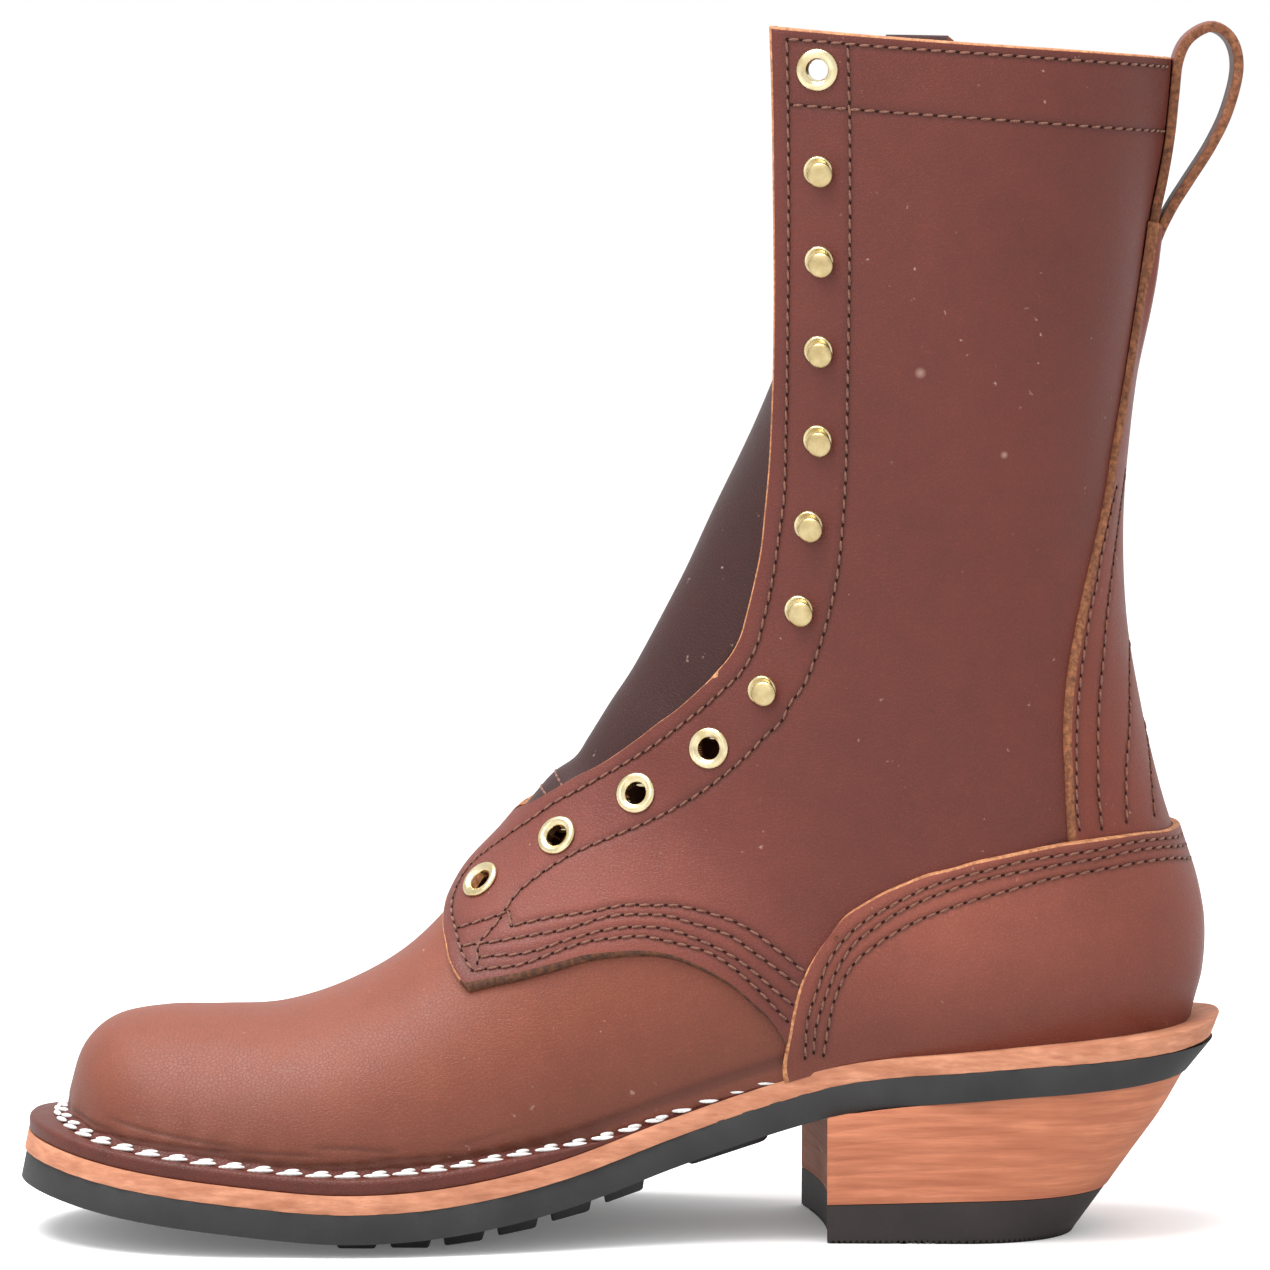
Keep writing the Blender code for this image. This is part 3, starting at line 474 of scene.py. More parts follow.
# Sections of the last: bottom x and z, top x and z, middle, half width, tuck, squareness
FORM = np.array((
    (-101.2, -0.9, -141.4, 16.3, -5.0, 43.5, 0.05, 2.15), (-101.2, 1.7, -141.4, 30.1, -5.0, 43.5, 0.05, 2.15),
    (-101.2, 4.2, -140.0, 38.8, -5.0, 43.5, 0.05, 2.15), (-101.2, 6.3, -136.4, 47.9, -5.0, 43.5, 0.05, 2.15),
    (-101.2, 8.3, -128.8, 54.2, -5.0, 43.5, 0.05, 2.15), (-101.1, 9.8, -116.1, 56.8, -5.0, 43.5, 0.08, 2.15),
    (-100.1, 10.9, -102.4, 57.0, -4.0, 44.5, 0.15, 2.15), (-84.9, 9.9, -86.7, 57.6, -2.5, 46.5, 0.25, 2.15),
    (-66.7, 8.5, -70.5, 62.4, -0.5, 48.0, 0.32, 2.1), (-46.4, 9.1, -55.4, 70.9, 1.5, 48.0, 0.36, 2.02),
    (-24.2, 11.7, -42.7, 83.7, 3.0, 46.0, 0.42, 1.9), (-1.9, 16.4, -32.1, 99.1, 4.0, 43.5, 0.48, 1.8),
    (22.3, 23.6, -22.5, 112.8, 4.2, 41.2, 0.52, 1.8), (48.6, 29.9, -13.9, 124.0, 3.6, 39.0, 0.54, 1.86),
    (75.8, 33.5, -7.4, 133.1, 2.4, 37.6, 0.56, 1.95), (100.9, 35.7, -2.4, 141.2, 1.2, 37.2, 0.64, 2.1),
    (122.1, 36.8, 1.1, 147.7, 0.6, 37.0, 0.78, 2.15), (136.0, 38.3, 3.6, 153.8, 0.2, 37.0, 0.92, 2.2),
    (143.4, 45.0, 6.2, 159.8, 0.0, 37.0, 1.0, 2.2), (145.6, 57.2, 8.2, 165.8, 0.0, 37.0, 1.0, 2.2),
    (146.5, 68.3, 9.7, 171.9, 0.0, 37.2, 1.0, 2.2), (145.6, 79.5, 11.2, 177.9, 0.0, 37.4, 1.0, 2.2),
    (143.7, 89.5, 12.2, 183.9, 0.0, 37.6, 1.0, 2.2), (140.4, 99.6, 13.2, 191.0, 0.0, 37.8, 1.0, 2.2),
    (135.9, 113.8, 14.2, 200.0, 0.0, 38.2, 1.0, 2.2), (131.1, 133.9, 15.7, 212.0, 0.0, 38.8, 1.0, 2.2),
    (127.2, 157.0, 17.2, 227.0, 0.0, 40.2, 1.0, 2.25), (126.2, 182.1, 18.1, 245.0, 0.0, 42.2, 1.0, 2.35),
    (128.0, 207.2, 18.1, 264.0, 0.0, 44.0, 1.0, 2.45), (131.2, 232.1, 17.1, 282.9, 0.0, 45.4, 1.0, 2.5),
    (134.2, 258.1, 15.1, 299.8, 0.0, 46.4, 1.0, 2.5), (137.5, 277.9, 13.1, 310.7, 0.0, 47.0, 1.0, 2.5),
    (139.1, 297.8, 12.1, 319.6, 0.0, 47.2, 1.0, 2.5), (139.2, 313.6, 12.1, 329.5, 0.0, 47.2, 1.0, 2.5)))
FORM_NUMBERS = np.arange(len(FORM), dtype=float)
# Lower edge of the quarters over it: section number, share of the way round to the top
QUARTER_LOWER = (
    (10.04, 0.539), (10.35, 0.511), (10.69, 0.484), (11.06, 0.46), (11.42, 0.441), (11.77, 0.425), (12.1, 0.406),
    (12.34, 0.391), (12.57, 0.375), (12.77, 0.355), (12.94, 0.331), (13.09, 0.304), (13.21, 0.274), (13.28, 0.241),
    (13.33, 0.211), (13.33, 0.184), (13.31, 0.162))
# Lace holes through quarter and vamp, from the collar down
EYELETS = np.array(((30.59, 0.633), (15.84, 0.652), (13.74, 0.649), (12.11, 0.695), (10.67, 0.796)))


def form_section(number):
    """The eight values of the last's section at a number along it."""
    return curves_through(FORM_NUMBERS, FORM, number)


def form(number, around):
    """Point of the last. around goes from 0, the inner side's lower edge, over 1, the top, to 2."""
    around = np.mod(around, 2.0)
    share = np.where(around <= 1.0, around, 2.0 - around)
    side = np.where(around <= 1.0, -1.0, 1.0)
    bottom_x, bottom_z, top_x, top_z, middle, half, tuck, power = form_section(number)
    tuck = np.minimum(tuck, 1.0)
    start = np.arcsin(-tuck)
    swing = np.sin(start + (np.pi / 2 - start) * share)
    part = (swing + tuck) / (1.0 + tuck)
    width = half * np.maximum(1.0 - np.abs(swing) ** power, 0.0) ** (1.0 / power)
    return np.stack((bottom_x + part * (top_x - bottom_x), middle + side * width,
                     bottom_z + part * (top_z - bottom_z)), axis=-1)


def unit(vectors):
    """Vectors brought to a length of 1."""
    return vectors / np.maximum(np.linalg.norm(vectors, axis=-1, keepdims=True), 1e-9)


def facing(number, around):
    """Outward direction of the last's surface."""
    step = 0.006
    around = np.mod(around, 2.0)
    closed = form_section(number)[6] > 0.999
    low = np.where(closed, around - step, np.maximum(around - step, 0.0))
    high = np.where(closed, around + step, np.minimum(around + step, 2.0 - 1e-9))
    along = form(number + 0.03, around) - form(number - 0.03, around)
    return unit(np.cross(along, form(number, high) - form(number, low)))


def on_form(number, around, lift):
    """Point at a height over the last."""
    return form(number, around) + np.asarray(lift)[..., None] * facing(number, around)


def smooth_step(value, start, end):
    """0 up to start, 1 from end on, and a smooth rise between them."""
    t = np.clip((value - start) / (end - start), 0.0, 1.0)
    return t * t * (3.0 - 2.0 * t)


def leather_group():
    """Oil-tanned leather: soft clouds of colour, fine grain, pale scuff specks, darkening at seams and painted shade,
    a painted sheen with some wear, and an uneven wax gloss.
    """
    group = bpy.data.node_groups.new("oiled_leather", "ShaderNodeTree")
    face = group.interface
    for name, kind in (("Spot", "NodeSocketVector"), ("Deep", "NodeSocketColor"), ("Pale", "NodeSocketColor"),
                       ("Seam", "NodeSocketFloat"), ("Sheen_And_Wear", "NodeSocketFloat")):
        face.new_socket(name, in_out="INPUT", socket_type=kind)
    for name, kind in (("Color", "NodeSocketColor"), ("Roughness", "NodeSocketFloat"), ("Height", "NodeSocketFloat")):
        face.new_socket(name, in_out="OUTPUT", socket_type=kind)
    taken = group.nodes.new("NodeGroupInput")
    given = group.nodes.new("NodeGroupOutput")
    spot = taken.outputs["Spot"]
    cloud = noise(group, spot, 22.0, 3.0)
    mottle = noise(group, spot, 150.0, 5.0)
    pores = noise(group, spot, 1500.0, 3.0)
    hair = add_node(group, "ShaderNodeTexVoronoi", {"Scale": 950.0, "Randomness": 1.0}, feature="DISTANCE_TO_EDGE")
    group.links.new(spot, hair.inputs["Vector"])
    tone = ramp(group, mixed(group, (cloud, 0.62), (mottle, 0.38)), 0.0, 1.0, 0.3, 0.72)
    colour = blend(group, tone, taken.outputs["Deep"], taken.outputs["Pale"])
    light = blend(group, 1.0, colour, (1.5, 1.55, 1.6), "MULTIPLY")
    fleck = noise(group, spot, 2600.0, 2.0)
    colour = blend(group, ramp(group, fleck, 0.0, 0.6, 0.48, 0.7), colour, light)
    # Painted sheen, with some wear: the colour is lightened by the amount the piece's tone gives
    lit_and_worn = blend(group, 1.0, colour, (1.95, 2.45, 2.55), "MULTIPLY")
    colour = blend(group, taken.outputs["Sheen_And_Wear"], colour, lit_and_worn)
    scuff = noise(group, spot, 420.0, 2.0)
    place = noise(group, spot, 34.0, 2.0)
    speck = sums(group, ramp(group, scuff, 0.0, 1.0, 0.715, 0.78), ramp(group, place, 0.0, 1.0, 0.48, 0.6), "MULTIPLY")
    colour = blend(group, sums(group, speck, 0.5, "MULTIPLY"), colour, (0.62, 0.42, 0.34))
    # Darkening along the seams; on vamp and counter the same tone also carries painted shade towards the sole and in
    # the creases
    colour = blend(group, sums(group, taken.outputs["Seam"], 0.55, "MULTIPLY"), colour, (0.035, 0.012, 0.008))
    group.links.new(colour, given.inputs["Color"])
    group.links.new(sums(group, mixed(group, (mottle, 0.22), (pores, 0.16)), 0.3), given.inputs["Roughness"])
    cells = ramp(group, hair.outputs["Distance"], 0.0, 1.0, 0.0, 0.12)
    group.links.new(mixed(group, (cells, 0.45), (pores, 0.4), (mottle, 0.9)), given.inputs["Height"])
    return group


LEATHER_GROUP = leather_group()


def oiled_leather(name, deep, pale, depth=0.11, marks=()):
    """Smooth outer side of the leather, in its own two browns, with small pale scuffs at given places."""
    material, tree, shader, spot = new_material(name, IOR=1.4, Coat_Roughness=0.4, Coat_Weight=0.04)
    skin = add_node(tree, "ShaderNodeGroup", node_tree=LEATHER_GROUP)
    skin.inputs["Deep"].default_value = (*deep, 1.0)
    skin.inputs["Pale"].default_value = (*pale, 1.0)
    tree.links.new(spot, skin.inputs["Spot"])
    # The seam tone darkens along stitching and carries painted shade; the other tone paints a sheen, with some wear
    for tone in ("seam", "sheen_and_wear"):
        given = add_node(tree, "ShaderNodeAttribute", attribute_name=tone)
        tree.links.new(given.outputs["Fac"], skin.inputs[tone.title()])
    colour = skin.outputs["Color"]
    for *place, reach in marks:
        away = add_node(tree, "ShaderNodeVectorMath", {1: (np.array(place) + STAND) * MM}, operation="DISTANCE")
        tree.links.new(spot, away.inputs[0])
        colour = blend(tree, ramp(tree, away.outputs["Value"], 0.5, 0.0, 0.2 * reach * MM, reach * MM), colour,
                       (0.5, 0.32, 0.26))
    finish(tree, shader, colour, skin.outputs["Roughness"], skin.outputs["Height"], depth)
    return material


VAMP_LEATHER = oiled_leather("vamp_leather", (0.166, 0.039, 0.0195), (0.218, 0.057, 0.0298))
RAW_EDGE = raw_leather("cut_edge_fibres", (0.24, 0.085, 0.034), (0.66, 0.3, 0.14), 900.0, (1.0, 1.0, 1.0))
FLESH_SIDE = raw_leather("leather_flesh_side", (0.2, 0.095, 0.055), (0.33, 0.17, 0.105), 60.0, (1.0, 1.0, 1.0))


def sole_share(number):
    """Share round the last's half section where it meets the sole's top, for each section."""
    low = np.zeros_like(number)
    high = np.ones_like(number)
    for _ in range(30):
        middle = (low + high) / 2
        spot = form(number, middle)
        under = spot[..., 2] < underside(spot[..., 0]) + UPPER_BASE
        low = np.where(under, middle, low)
        high = np.where(under, high, middle)
    return high


def shade(piece, tone, values):
    """Gives a grid's points the values of a tone that its leather reads."""
    mark = piece.data.attributes.new(tone, "FLOAT", "POINT")
    mark.data.foreach_set("value", values.reshape(-1).astype(np.float32))


def cut_holes(piece, points, holes, reach):
    """Takes the faces of a grid out round each lace hole."""
    middle = (points[:-1, :-1] + points[1:, :-1] + points[:-1, 1:] + points[1:, 1:]).reshape(-1, 3) / 4
    cut = np.zeros(len(middle), bool)
    for hole in holes:
        cut |= np.linalg.norm(middle - hole, axis=1) < reach
    bpy.ops.object.mode_set(mode="EDIT")
    bpy.ops.mesh.select_mode(type="FACE")
    bpy.ops.mesh.select_all(action="DESELECT")
    bpy.ops.object.mode_set(mode="OBJECT")
    piece.data.polygons.foreach_set("select", cut)
    bpy.ops.object.mode_set(mode="EDIT")
    bpy.ops.mesh.delete(type="FACE")
    bpy.ops.object.mode_set(mode="OBJECT")


across = np.sin(np.linspace(-0.5, 0.5, VAMP_ACROSS) * math.pi)[None, :]
along = np.linspace(0.0, 1.0, VAMP_ROWS)[:, None]
number = VAMP_START + along * (VAMP_END - VAMP_START + VAMP_TRAIL * np.abs(across))
lowest = sole_share(number)
share = lowest + (1.0 - lowest) * (1.0 - np.abs(across))
around = np.where(across <= 0.0, share, 2.0 - share)
skin = form(number, around)
above_sole = skin[..., 2] - underside(skin[..., 0]) - UPPER_BASE
ring_angle = np.arctan2(skin[..., 1] - TOE_CENTRE[1], TOE_CENTRE[0] - skin[..., 0])
pucker = np.exp(-((above_sole - 7.0) / 4.0) ** 2) * smooth_step(-skin[..., 0], 20.0, 60.0)
lift = PUCKER_DEPTH * pucker * np.sin(ring_angle * 46.0 + 1.3 * np.sin(ring_angle * 9.0))
lift -= 0.7 * np.exp(-((above_sole - 5.0) / 2.0) ** 2)
# Painted shade, with some of the leather's real burnish: darker in the trough over the flange, towards the sole and in
# the creases
painted_shade_and_burnish = 0.85 * np.exp(-((above_sole - 5.0) / 1.5) ** 2) + 0.5 * (1.0 - smooth_step(above_sole, 4.0, 38.0))
for height, sway, turns in CREASES:
    fold = np.exp(-((above_sole - height - sway * np.sin(ring_angle * turns + height)) / 0.5) ** 2)
    fold *= smooth_step(np.sin(ring_angle * 8.0 + 2.0 * height), -0.7, 0.3) * smooth_step(-skin[..., 0], 10.0, 50.0)
    lift -= CREASE_DEPTH * fold
    painted_shade_and_burnish += 0.5 * fold
lift += 0.22 * np.sin(skin[..., 0] * 0.06 + 1.0) * np.sin(skin[..., 2] * 0.09) * smooth_step(above_sole, 6.0, 20.0)
cover = np.interp(number, *np.transpose(QUARTER_LOWER[:14]))
lift -= 1.95 * smooth_step(share - cover, 0.02, 0.12) * smooth_step(number, 9.95, 10.4)
points = on_form(number, around, lift)[:, ::-1]
vamp = lay_grid("vamp", points, VAMP_LEATHER, RAW_EDGE, FLESH_SIDE)
# The vamp's seam tone is the painted shade and burnish worked out above
shade(vamp, "seam", np.minimum(painted_shade_and_burnish, 1.0)[:, ::-1])
cut_holes(vamp, points, [on_form(section, way * turn, -1.0) for section, turn in EYELETS for way in (1, -1)], 5.0)
apply_step(vamp, "SOLIDIFY", thickness=VAMP_THICK * MM, offset=-1.0, material_offset=2, material_offset_rim=1)
hand_over(vamp, "brown_leather", "upper", angle=60.0)

# Flange: the lower edge of the vamp, turned outwards over the midsole instead of under the last.
# Its cut edge is burnished dark, it thins out at the waist, and two rows of white thread sew it down.
FLANGE_THICK = 4.0
FLANGE_BACK = 38.0
FLANGE_ENDS = (-150.8, 153.5)
FLANGE_STEPS = 420
SEARCH_OUT = 60.0


def form_tree():
    """Search tree of the last's surface."""
    sections, rounds = np.meshgrid(np.linspace(0.4, 33.0, 300), np.linspace(0.0, 2.0, 241), indexing="ij")
    points = form(sections, np.minimum(rounds, 2.0 - 1e-9))
    columns = points.shape[1]
    corner = (np.arange(points.shape[0] - 1)[:, None] * columns + np.arange(columns - 1)[None, :]).reshape(-1)
    faces = np.stack((corner, corner + 1, corner + columns + 1, corner + columns), axis=1)
    return BVHTree.FromPolygons(points.reshape(-1, 3).tolist(), faces.tolist())


def lengths(points):
    """Distance run along a list of points."""
    return np.concatenate(((0.0,), np.cumsum(np.linalg.norm(np.diff(points, axis=0), axis=1))))


def read_along(run, line, where):
    """Points of a line at given distances along it."""
    return np.stack([np.interp(where, run, column) for column in line.T], axis=-1)


def even_steps(path, count):
    """A path in plan or space resampled at even distances."""
    run = lengths(path)
    return read_along(run, path, np.linspace(0.0, run[-1], count))


FORM_TREE = form_tree()
turn = np.sin(np.radians(np.linspace(89.95, 2.0, 60)))
x = np.concatenate((np.linspace(FLANGE_BACK, TOE_ROUND_FROM, 120),
                    TOE_ROUND_FROM + (FLANGE_ENDS[0] - TOE_ROUND_FROM) * turn[::-1]))
middle, half = sole_plan(x, FLANGE_ENDS)
edge = np.concatenate((np.column_stack((x, middle - half)), np.column_stack((x, middle + half))[::-1]))
edge = even_steps(edge, FLANGE_STEPS)
heading = unit(np.gradient(edge, axis=0))
inward = np.column_stack((-heading[:, 1], heading[:, 0]))
inward *= np.sign(np.sum(inward * (np.array((-40.0, 0.0)) - edge), axis=1))[:, None]
taper = 1.0 - 0.9 * smooth_step(edge[:, 0], -30.0, 12.0)
flange_top = underside(edge[:, 0]) + UPPER_BASE + FLANGE_THICK * taper
ledge = []
for spot, way, height in zip(edge, inward, flange_top):
    start = Vector((*(spot - way * SEARCH_OUT), height + 0.5))
    hit = FORM_TREE.ray_cast(start, Vector((*way, 0.0)))
    ledge.append(hit[3] - SEARCH_OUT if hit[0] else 0.0)
ledge = np.convolve(np.pad(ledge, 6, mode="edge"), np.ones(13) / 13, mode="valid")
ledge = np.maximum(ledge, 0.6)
# Section of the flange: share of the ledge, millimetres inwards, height over the midsole
FLANGE_SECTION = np.array((
    (0.0, 0.5, 0.0), (0.0, 0.05, 0.5), (0.0, 0.0, 1.4), (0.0, 0.1, 2.0), (0.0, 0.0, 2.7), (0.0, 0.25, 3.5),
    (0.0, 0.8, 3.95), (0.0, 1.6, 4.0), (0.4, 0.9, 3.9), (0.62, 0.6, 3.85), (0.8, 0.2, 4.0), (0.92, 0.0, 4.25),
    (1.0, 0.3, 5.0), (1.0, 1.6, 6.0), (1.0, 4.0, 6.5)))
rows = []
for share, inset, height in FLANGE_SECTION:
    reach = np.minimum(share * ledge + inset, ledge + 4.0)
    plan = edge + inward * reach[:, None]
    rows.append(np.column_stack((plan, underside(edge[:, 0]) + UPPER_BASE - 0.1 + height * taper)))
FLANGE_LEATHER = oiled_leather("flange_leather", (0.066, 0.0115, 0.006), (0.126, 0.0235, 0.013), 0.16)
flange = lay_grid("flange_edge", np.array(rows)[:, ::-1], FLANGE_LEATHER)
apply_step(flange, "SOLIDIFY", thickness=0.6 * MM, offset=-1.0)
hand_over(flange, "dark_leather", "flange", angle=60.0)

# White stitching: two rows of thick waxed thread through flange, midsole and outsole.
# Each stitch lies slightly askew and sinks into the leather at both ends.
THREAD_PITCH = 7.1
THREAD = (6.9, 1.8, 1.2)
# distance of each row from the upper, size of its stitches and how far they lie askew
THREAD_ROWS = ((2.6, 1.0, math.radians(5.0)), (0.9, 0.62, math.radians(28.0)))


def stitch_base(name, size, material):
    """One stitch: a small ball drawn out to the thread's length, width and height."""
    bpy.ops.object.select_all(action="DESELECT")
    bpy.ops.mesh.primitive_uv_sphere_add(segments=8, ring_count=6, radius=0.5 * MM)
    piece = bpy.context.object
    piece.name = name
    bpy.ops.object.mode_set(mode="EDIT")
    bpy.ops.mesh.select_all(action="SELECT")
    bpy.ops.transform.rotate(value=math.radians(90), orient_axis="Y", center_override=(0, 0, 0))
    bpy.ops.transform.resize(value=size, center_override=(0, 0, 0))
    bpy.ops.object.mode_set(mode="OBJECT")
    piece.data.materials.append(material)
    return piece


def thread_material(name, dark, light):
    """Twisted thread: light plies with darker lines between them."""
    material, tree, shader, spot = new_material(name, Sheen_Weight=0.2, IOR=1.4)
    ply = noise(tree, spot, 1900.0, 2.0)
    finish(tree, shader, ramp(tree, ply, dark, light, 0.3, 0.6), ramp(tree, ply, 0.6, 0.85, 0.3, 0.7), ply, 0.2)
    return material


def frame_from(heading, out, askew=0.0):
    """Turn whose first axis follows heading and whose third axis leaves the surface."""
    heading = unit(heading - out * np.dot(heading, out))
    side = np.cross(out, heading)
    first = heading * math.cos(askew) + side * math.sin(askew)
    return np.column_stack((first, np.cross(out, first), out))


WHITE_THREAD = thread_material("white_waxed_thread", (0.62, 0.6, 0.57), (0.9, 0.89, 0.87))
white = stitch_base("flange_stitching", THREAD, WHITE_THREAD)
white_frames = []
for gap, size, askew in THREAD_ROWS:
    path = np.column_stack((edge + inward * np.clip(ledge - gap, 0.9, None)[:, None], flange_top + 0.8 - gap * 0.25))
    spots = even_steps(path, int(lengths(path)[-1] / THREAD_PITCH))
    room = np.interp(np.linspace(0.0, 1.0, len(spots)), np.linspace(0.0, 1.0, len(ledge)), ledge)
    for spot, way, wide in zip(spots, np.gradient(spots, axis=0), room):
        if wide > gap + 0.7 or size == 1.0:
            turned = frame_from(way, np.array((0.0, 0.0, 1.0)), askew)
            back = 3.5 * (1.0 - size) * unit(way)
            white_frames.append((turned @ np.diag((size, 0.8 + 0.2 * size, 1.0)), spot - back))
repeat(white, white_frames)
hand_over(white, "tan_leather", angle=80.0)

# Tongue: a long strip of darker, softer leather, sewn to the vamp's top edge and rising inside the shaft.
# Its sides curl back and its top is rounded.
TONGUE_THICK = 2.0
# x, z and y of its front middle, half width, curl
TONGUE = np.array((
    (-31.8, 99.4, 3.9, 13.0, 4.5), (-22.6, 110.8, 4.0, 15.0, 6.8), (-17.4, 116.6, 3.9, 16.0, 8.4),
    (-11.8, 120.6, 3.4, 17.0, 10.2), (-8.2, 125.8, 2.8, 18.0, 12.0), (-2.5, 134.5, 2.0, 20.5, 14.5),
    (5.0, 145.6, 1.0, 23.0, 17.0), (16.0, 166.4, 0.0, 26.5, 19.5), (24.6, 186.4, 0.0, 28.0, 18.0),
    (38.6, 217.0, 0.0, 30.5, 14.0), (54.4, 256.0, 0.0, 33.0, 12.5), (64.4, 292.8, 0.0, 33.0, 13.5),
    (66.8, 303.0, 0.0, 32.5, 15.5), (67.3, 306.4, 0.0, 30.5, 15.5)))
row = np.linspace(0.0, len(TONGUE) - 1, 120)
x, z, middle, half, curl = curves_through(np.arange(len(TONGUE), dtype=float), TONGUE, row)
lean = unit(np.stack((np.gradient(x), np.gradient(z)), axis=1))
side = np.linspace(-1.0, 1.0, 49)[None, :]
drop = curl[:, None] * side * side
ripple = 0.5 * np.sin(z[:, None] * 0.07 + 2.0 * side) * (1.0 - side * side)
top = 1.6 * (side * side - 1.0) * smooth_step(row, len(TONGUE) - 3.0, len(TONGUE) - 1.0)[:, None]
tongue_points = np.stack((x[:, None] + (drop + ripple) * lean[:, 1:2], middle[:, None] + half[:, None] * side,
                          z[:, None] + top - (drop + ripple) * lean[:, 0:1]), axis=2)
BROWN_EDGE = raw_leather("brown_cut_edge", (0.09, 0.027, 0.011), (0.34, 0.13, 0.055), 900.0, (1.0, 1.0, 1.0))
TONGUE_LEATHER = oiled_leather("tongue_leather", (0.02, 0.002, 0.0012), (0.035, 0.0045, 0.003), 0.09)
tongue = lay_grid("tongue_strip", tongue_points[:, ::-1], TONGUE_LEATHER, BROWN_EDGE)
apply_step(tongue, "SOLIDIFY", thickness=TONGUE_THICK * MM, offset=-1.0, material_offset=0, material_offset_rim=1)
round_edges(tongue, 0.5)
hand_over(tongue, "dark_leather", "tongue")

# Quarters: the two leather sides of the ankle and shaft, sewn over the vamp and meeting at the instep.
# Their edges are left raw, so a tan cut shows along the throat and the collar; along the lower edge, which faces down,
# the cut is painted dark as shade.
QUARTER_THICK = 1.9
QUARTER_LIFT = 0.3
QUARTER_RAISE = 1.7
INSTEP_BULGE = 2.5
ROLL_STEPS = np.array((0.0, 0.05, 0.16, 0.34, 0.6, 1.0))
# Places on the last: section number, share of the way round from the lower edge or back to the top
QUARTER_FRONT = (
    (10.04, 0.539), (9.97, 0.565), (9.89, 0.608), (9.83, 0.662), (9.82, 0.732), (9.81, 0.82), (9.86, 0.9),
    (10.05, 0.972), (10.4, 0.988), (10.8, 0.99), (11.2, 0.985), (11.5, 0.96), (11.83, 0.881), (12.35, 0.822),
    (12.88, 0.789), (13.48, 0.758), (14.02, 0.746), (14.53, 0.739), (15.28, 0.736), (15.89, 0.736), (16.67, 0.741),
    (17.29, 0.746), (17.96, 0.758), (18.59, 0.753), (19.23, 0.745), (19.83, 0.74), (20.44, 0.738), (21.88, 0.731),
    (23.12, 0.722), (24.06, 0.716), (24.95, 0.711), (26.02, 0.709), (27.29, 0.711), (28.51, 0.714), (29.8, 0.709),
    (31.22, 0.704))
QUARTER_HIDDEN = ((13.31, 0.162), (13.9, 0.19), (14.9, 0.26), (16.2, 0.31), (17.6, 0.33), (18.8, 0.28),
                  (19.6, 0.15), (19.8, 0.0))
COLLAR = ((31.22, 0.704), (31.51, 0.562), (31.75, 0.425), (31.93, 0.286), (32.05, 0.12), (32.08, 0.0))


def place(x, z):
    """Section number and share of the points of the last's inner side that show at x and z from the side."""
    low = np.full(np.shape(x), 5.0)
    high = np.full(np.shape(x), len(FORM) - 1.0)
    for _ in range(36):
        number = (low + high) / 2
        bottom_x, bottom_z, top_x, top_z = form_section(number)[:4]
        above = (top_x - bottom_x) * (z - bottom_z) < (top_z - bottom_z) * (x - bottom_x)
        low = np.where(above, number, low)
        high = np.where(above, high, number)
    bottom_x, bottom_z, top_x, top_z, _, _, tuck, _ = form_section(number)
    tuck = np.minimum(tuck, 1.0)
    run = np.stack((top_x - bottom_x, top_z - bottom_z))
    part = (run[0] * (x - bottom_x) + run[1] * (z - bottom_z)) / np.sum(run * run, axis=0)
    start = np.arcsin(-tuck)
    swing = np.clip(np.clip(part, 0.0, 1.0) * (1.0 + tuck) - tuck, -1.0, 1.0)
    return number, (np.arcsin(swing) - start) / (np.pi / 2 - start)


def last_line(knots, count):
    """Smooth line over the last through places on it, evenly spaced."""
    knots = np.array(knots, float)
    seen = form(knots[:, 0], knots[:, 1])[:, (0, 2)]
    run = lengths(seen)
    fine = np.linspace(0.0, run[-1], 900)
    line = np.stack(place(*curves_through(run, seen, fine)), axis=1)
    plain = np.stack(curves_through(run, knots, fine), axis=1)
    line += (plain - line) * smooth_step(plain[:, 1:], 0.78, 0.86)
    line[0] = knots[0]
    line[-1] = knots[-1]
    run = lengths(form(line[:, 0], line[:, 1]))
    return read_along(run, line, np.linspace(0.0, run[-1], count))


def mirrored(line):
    """The same line on the outer side of the boot."""
    return np.column_stack((line[:, 0], -line[:, 1]))


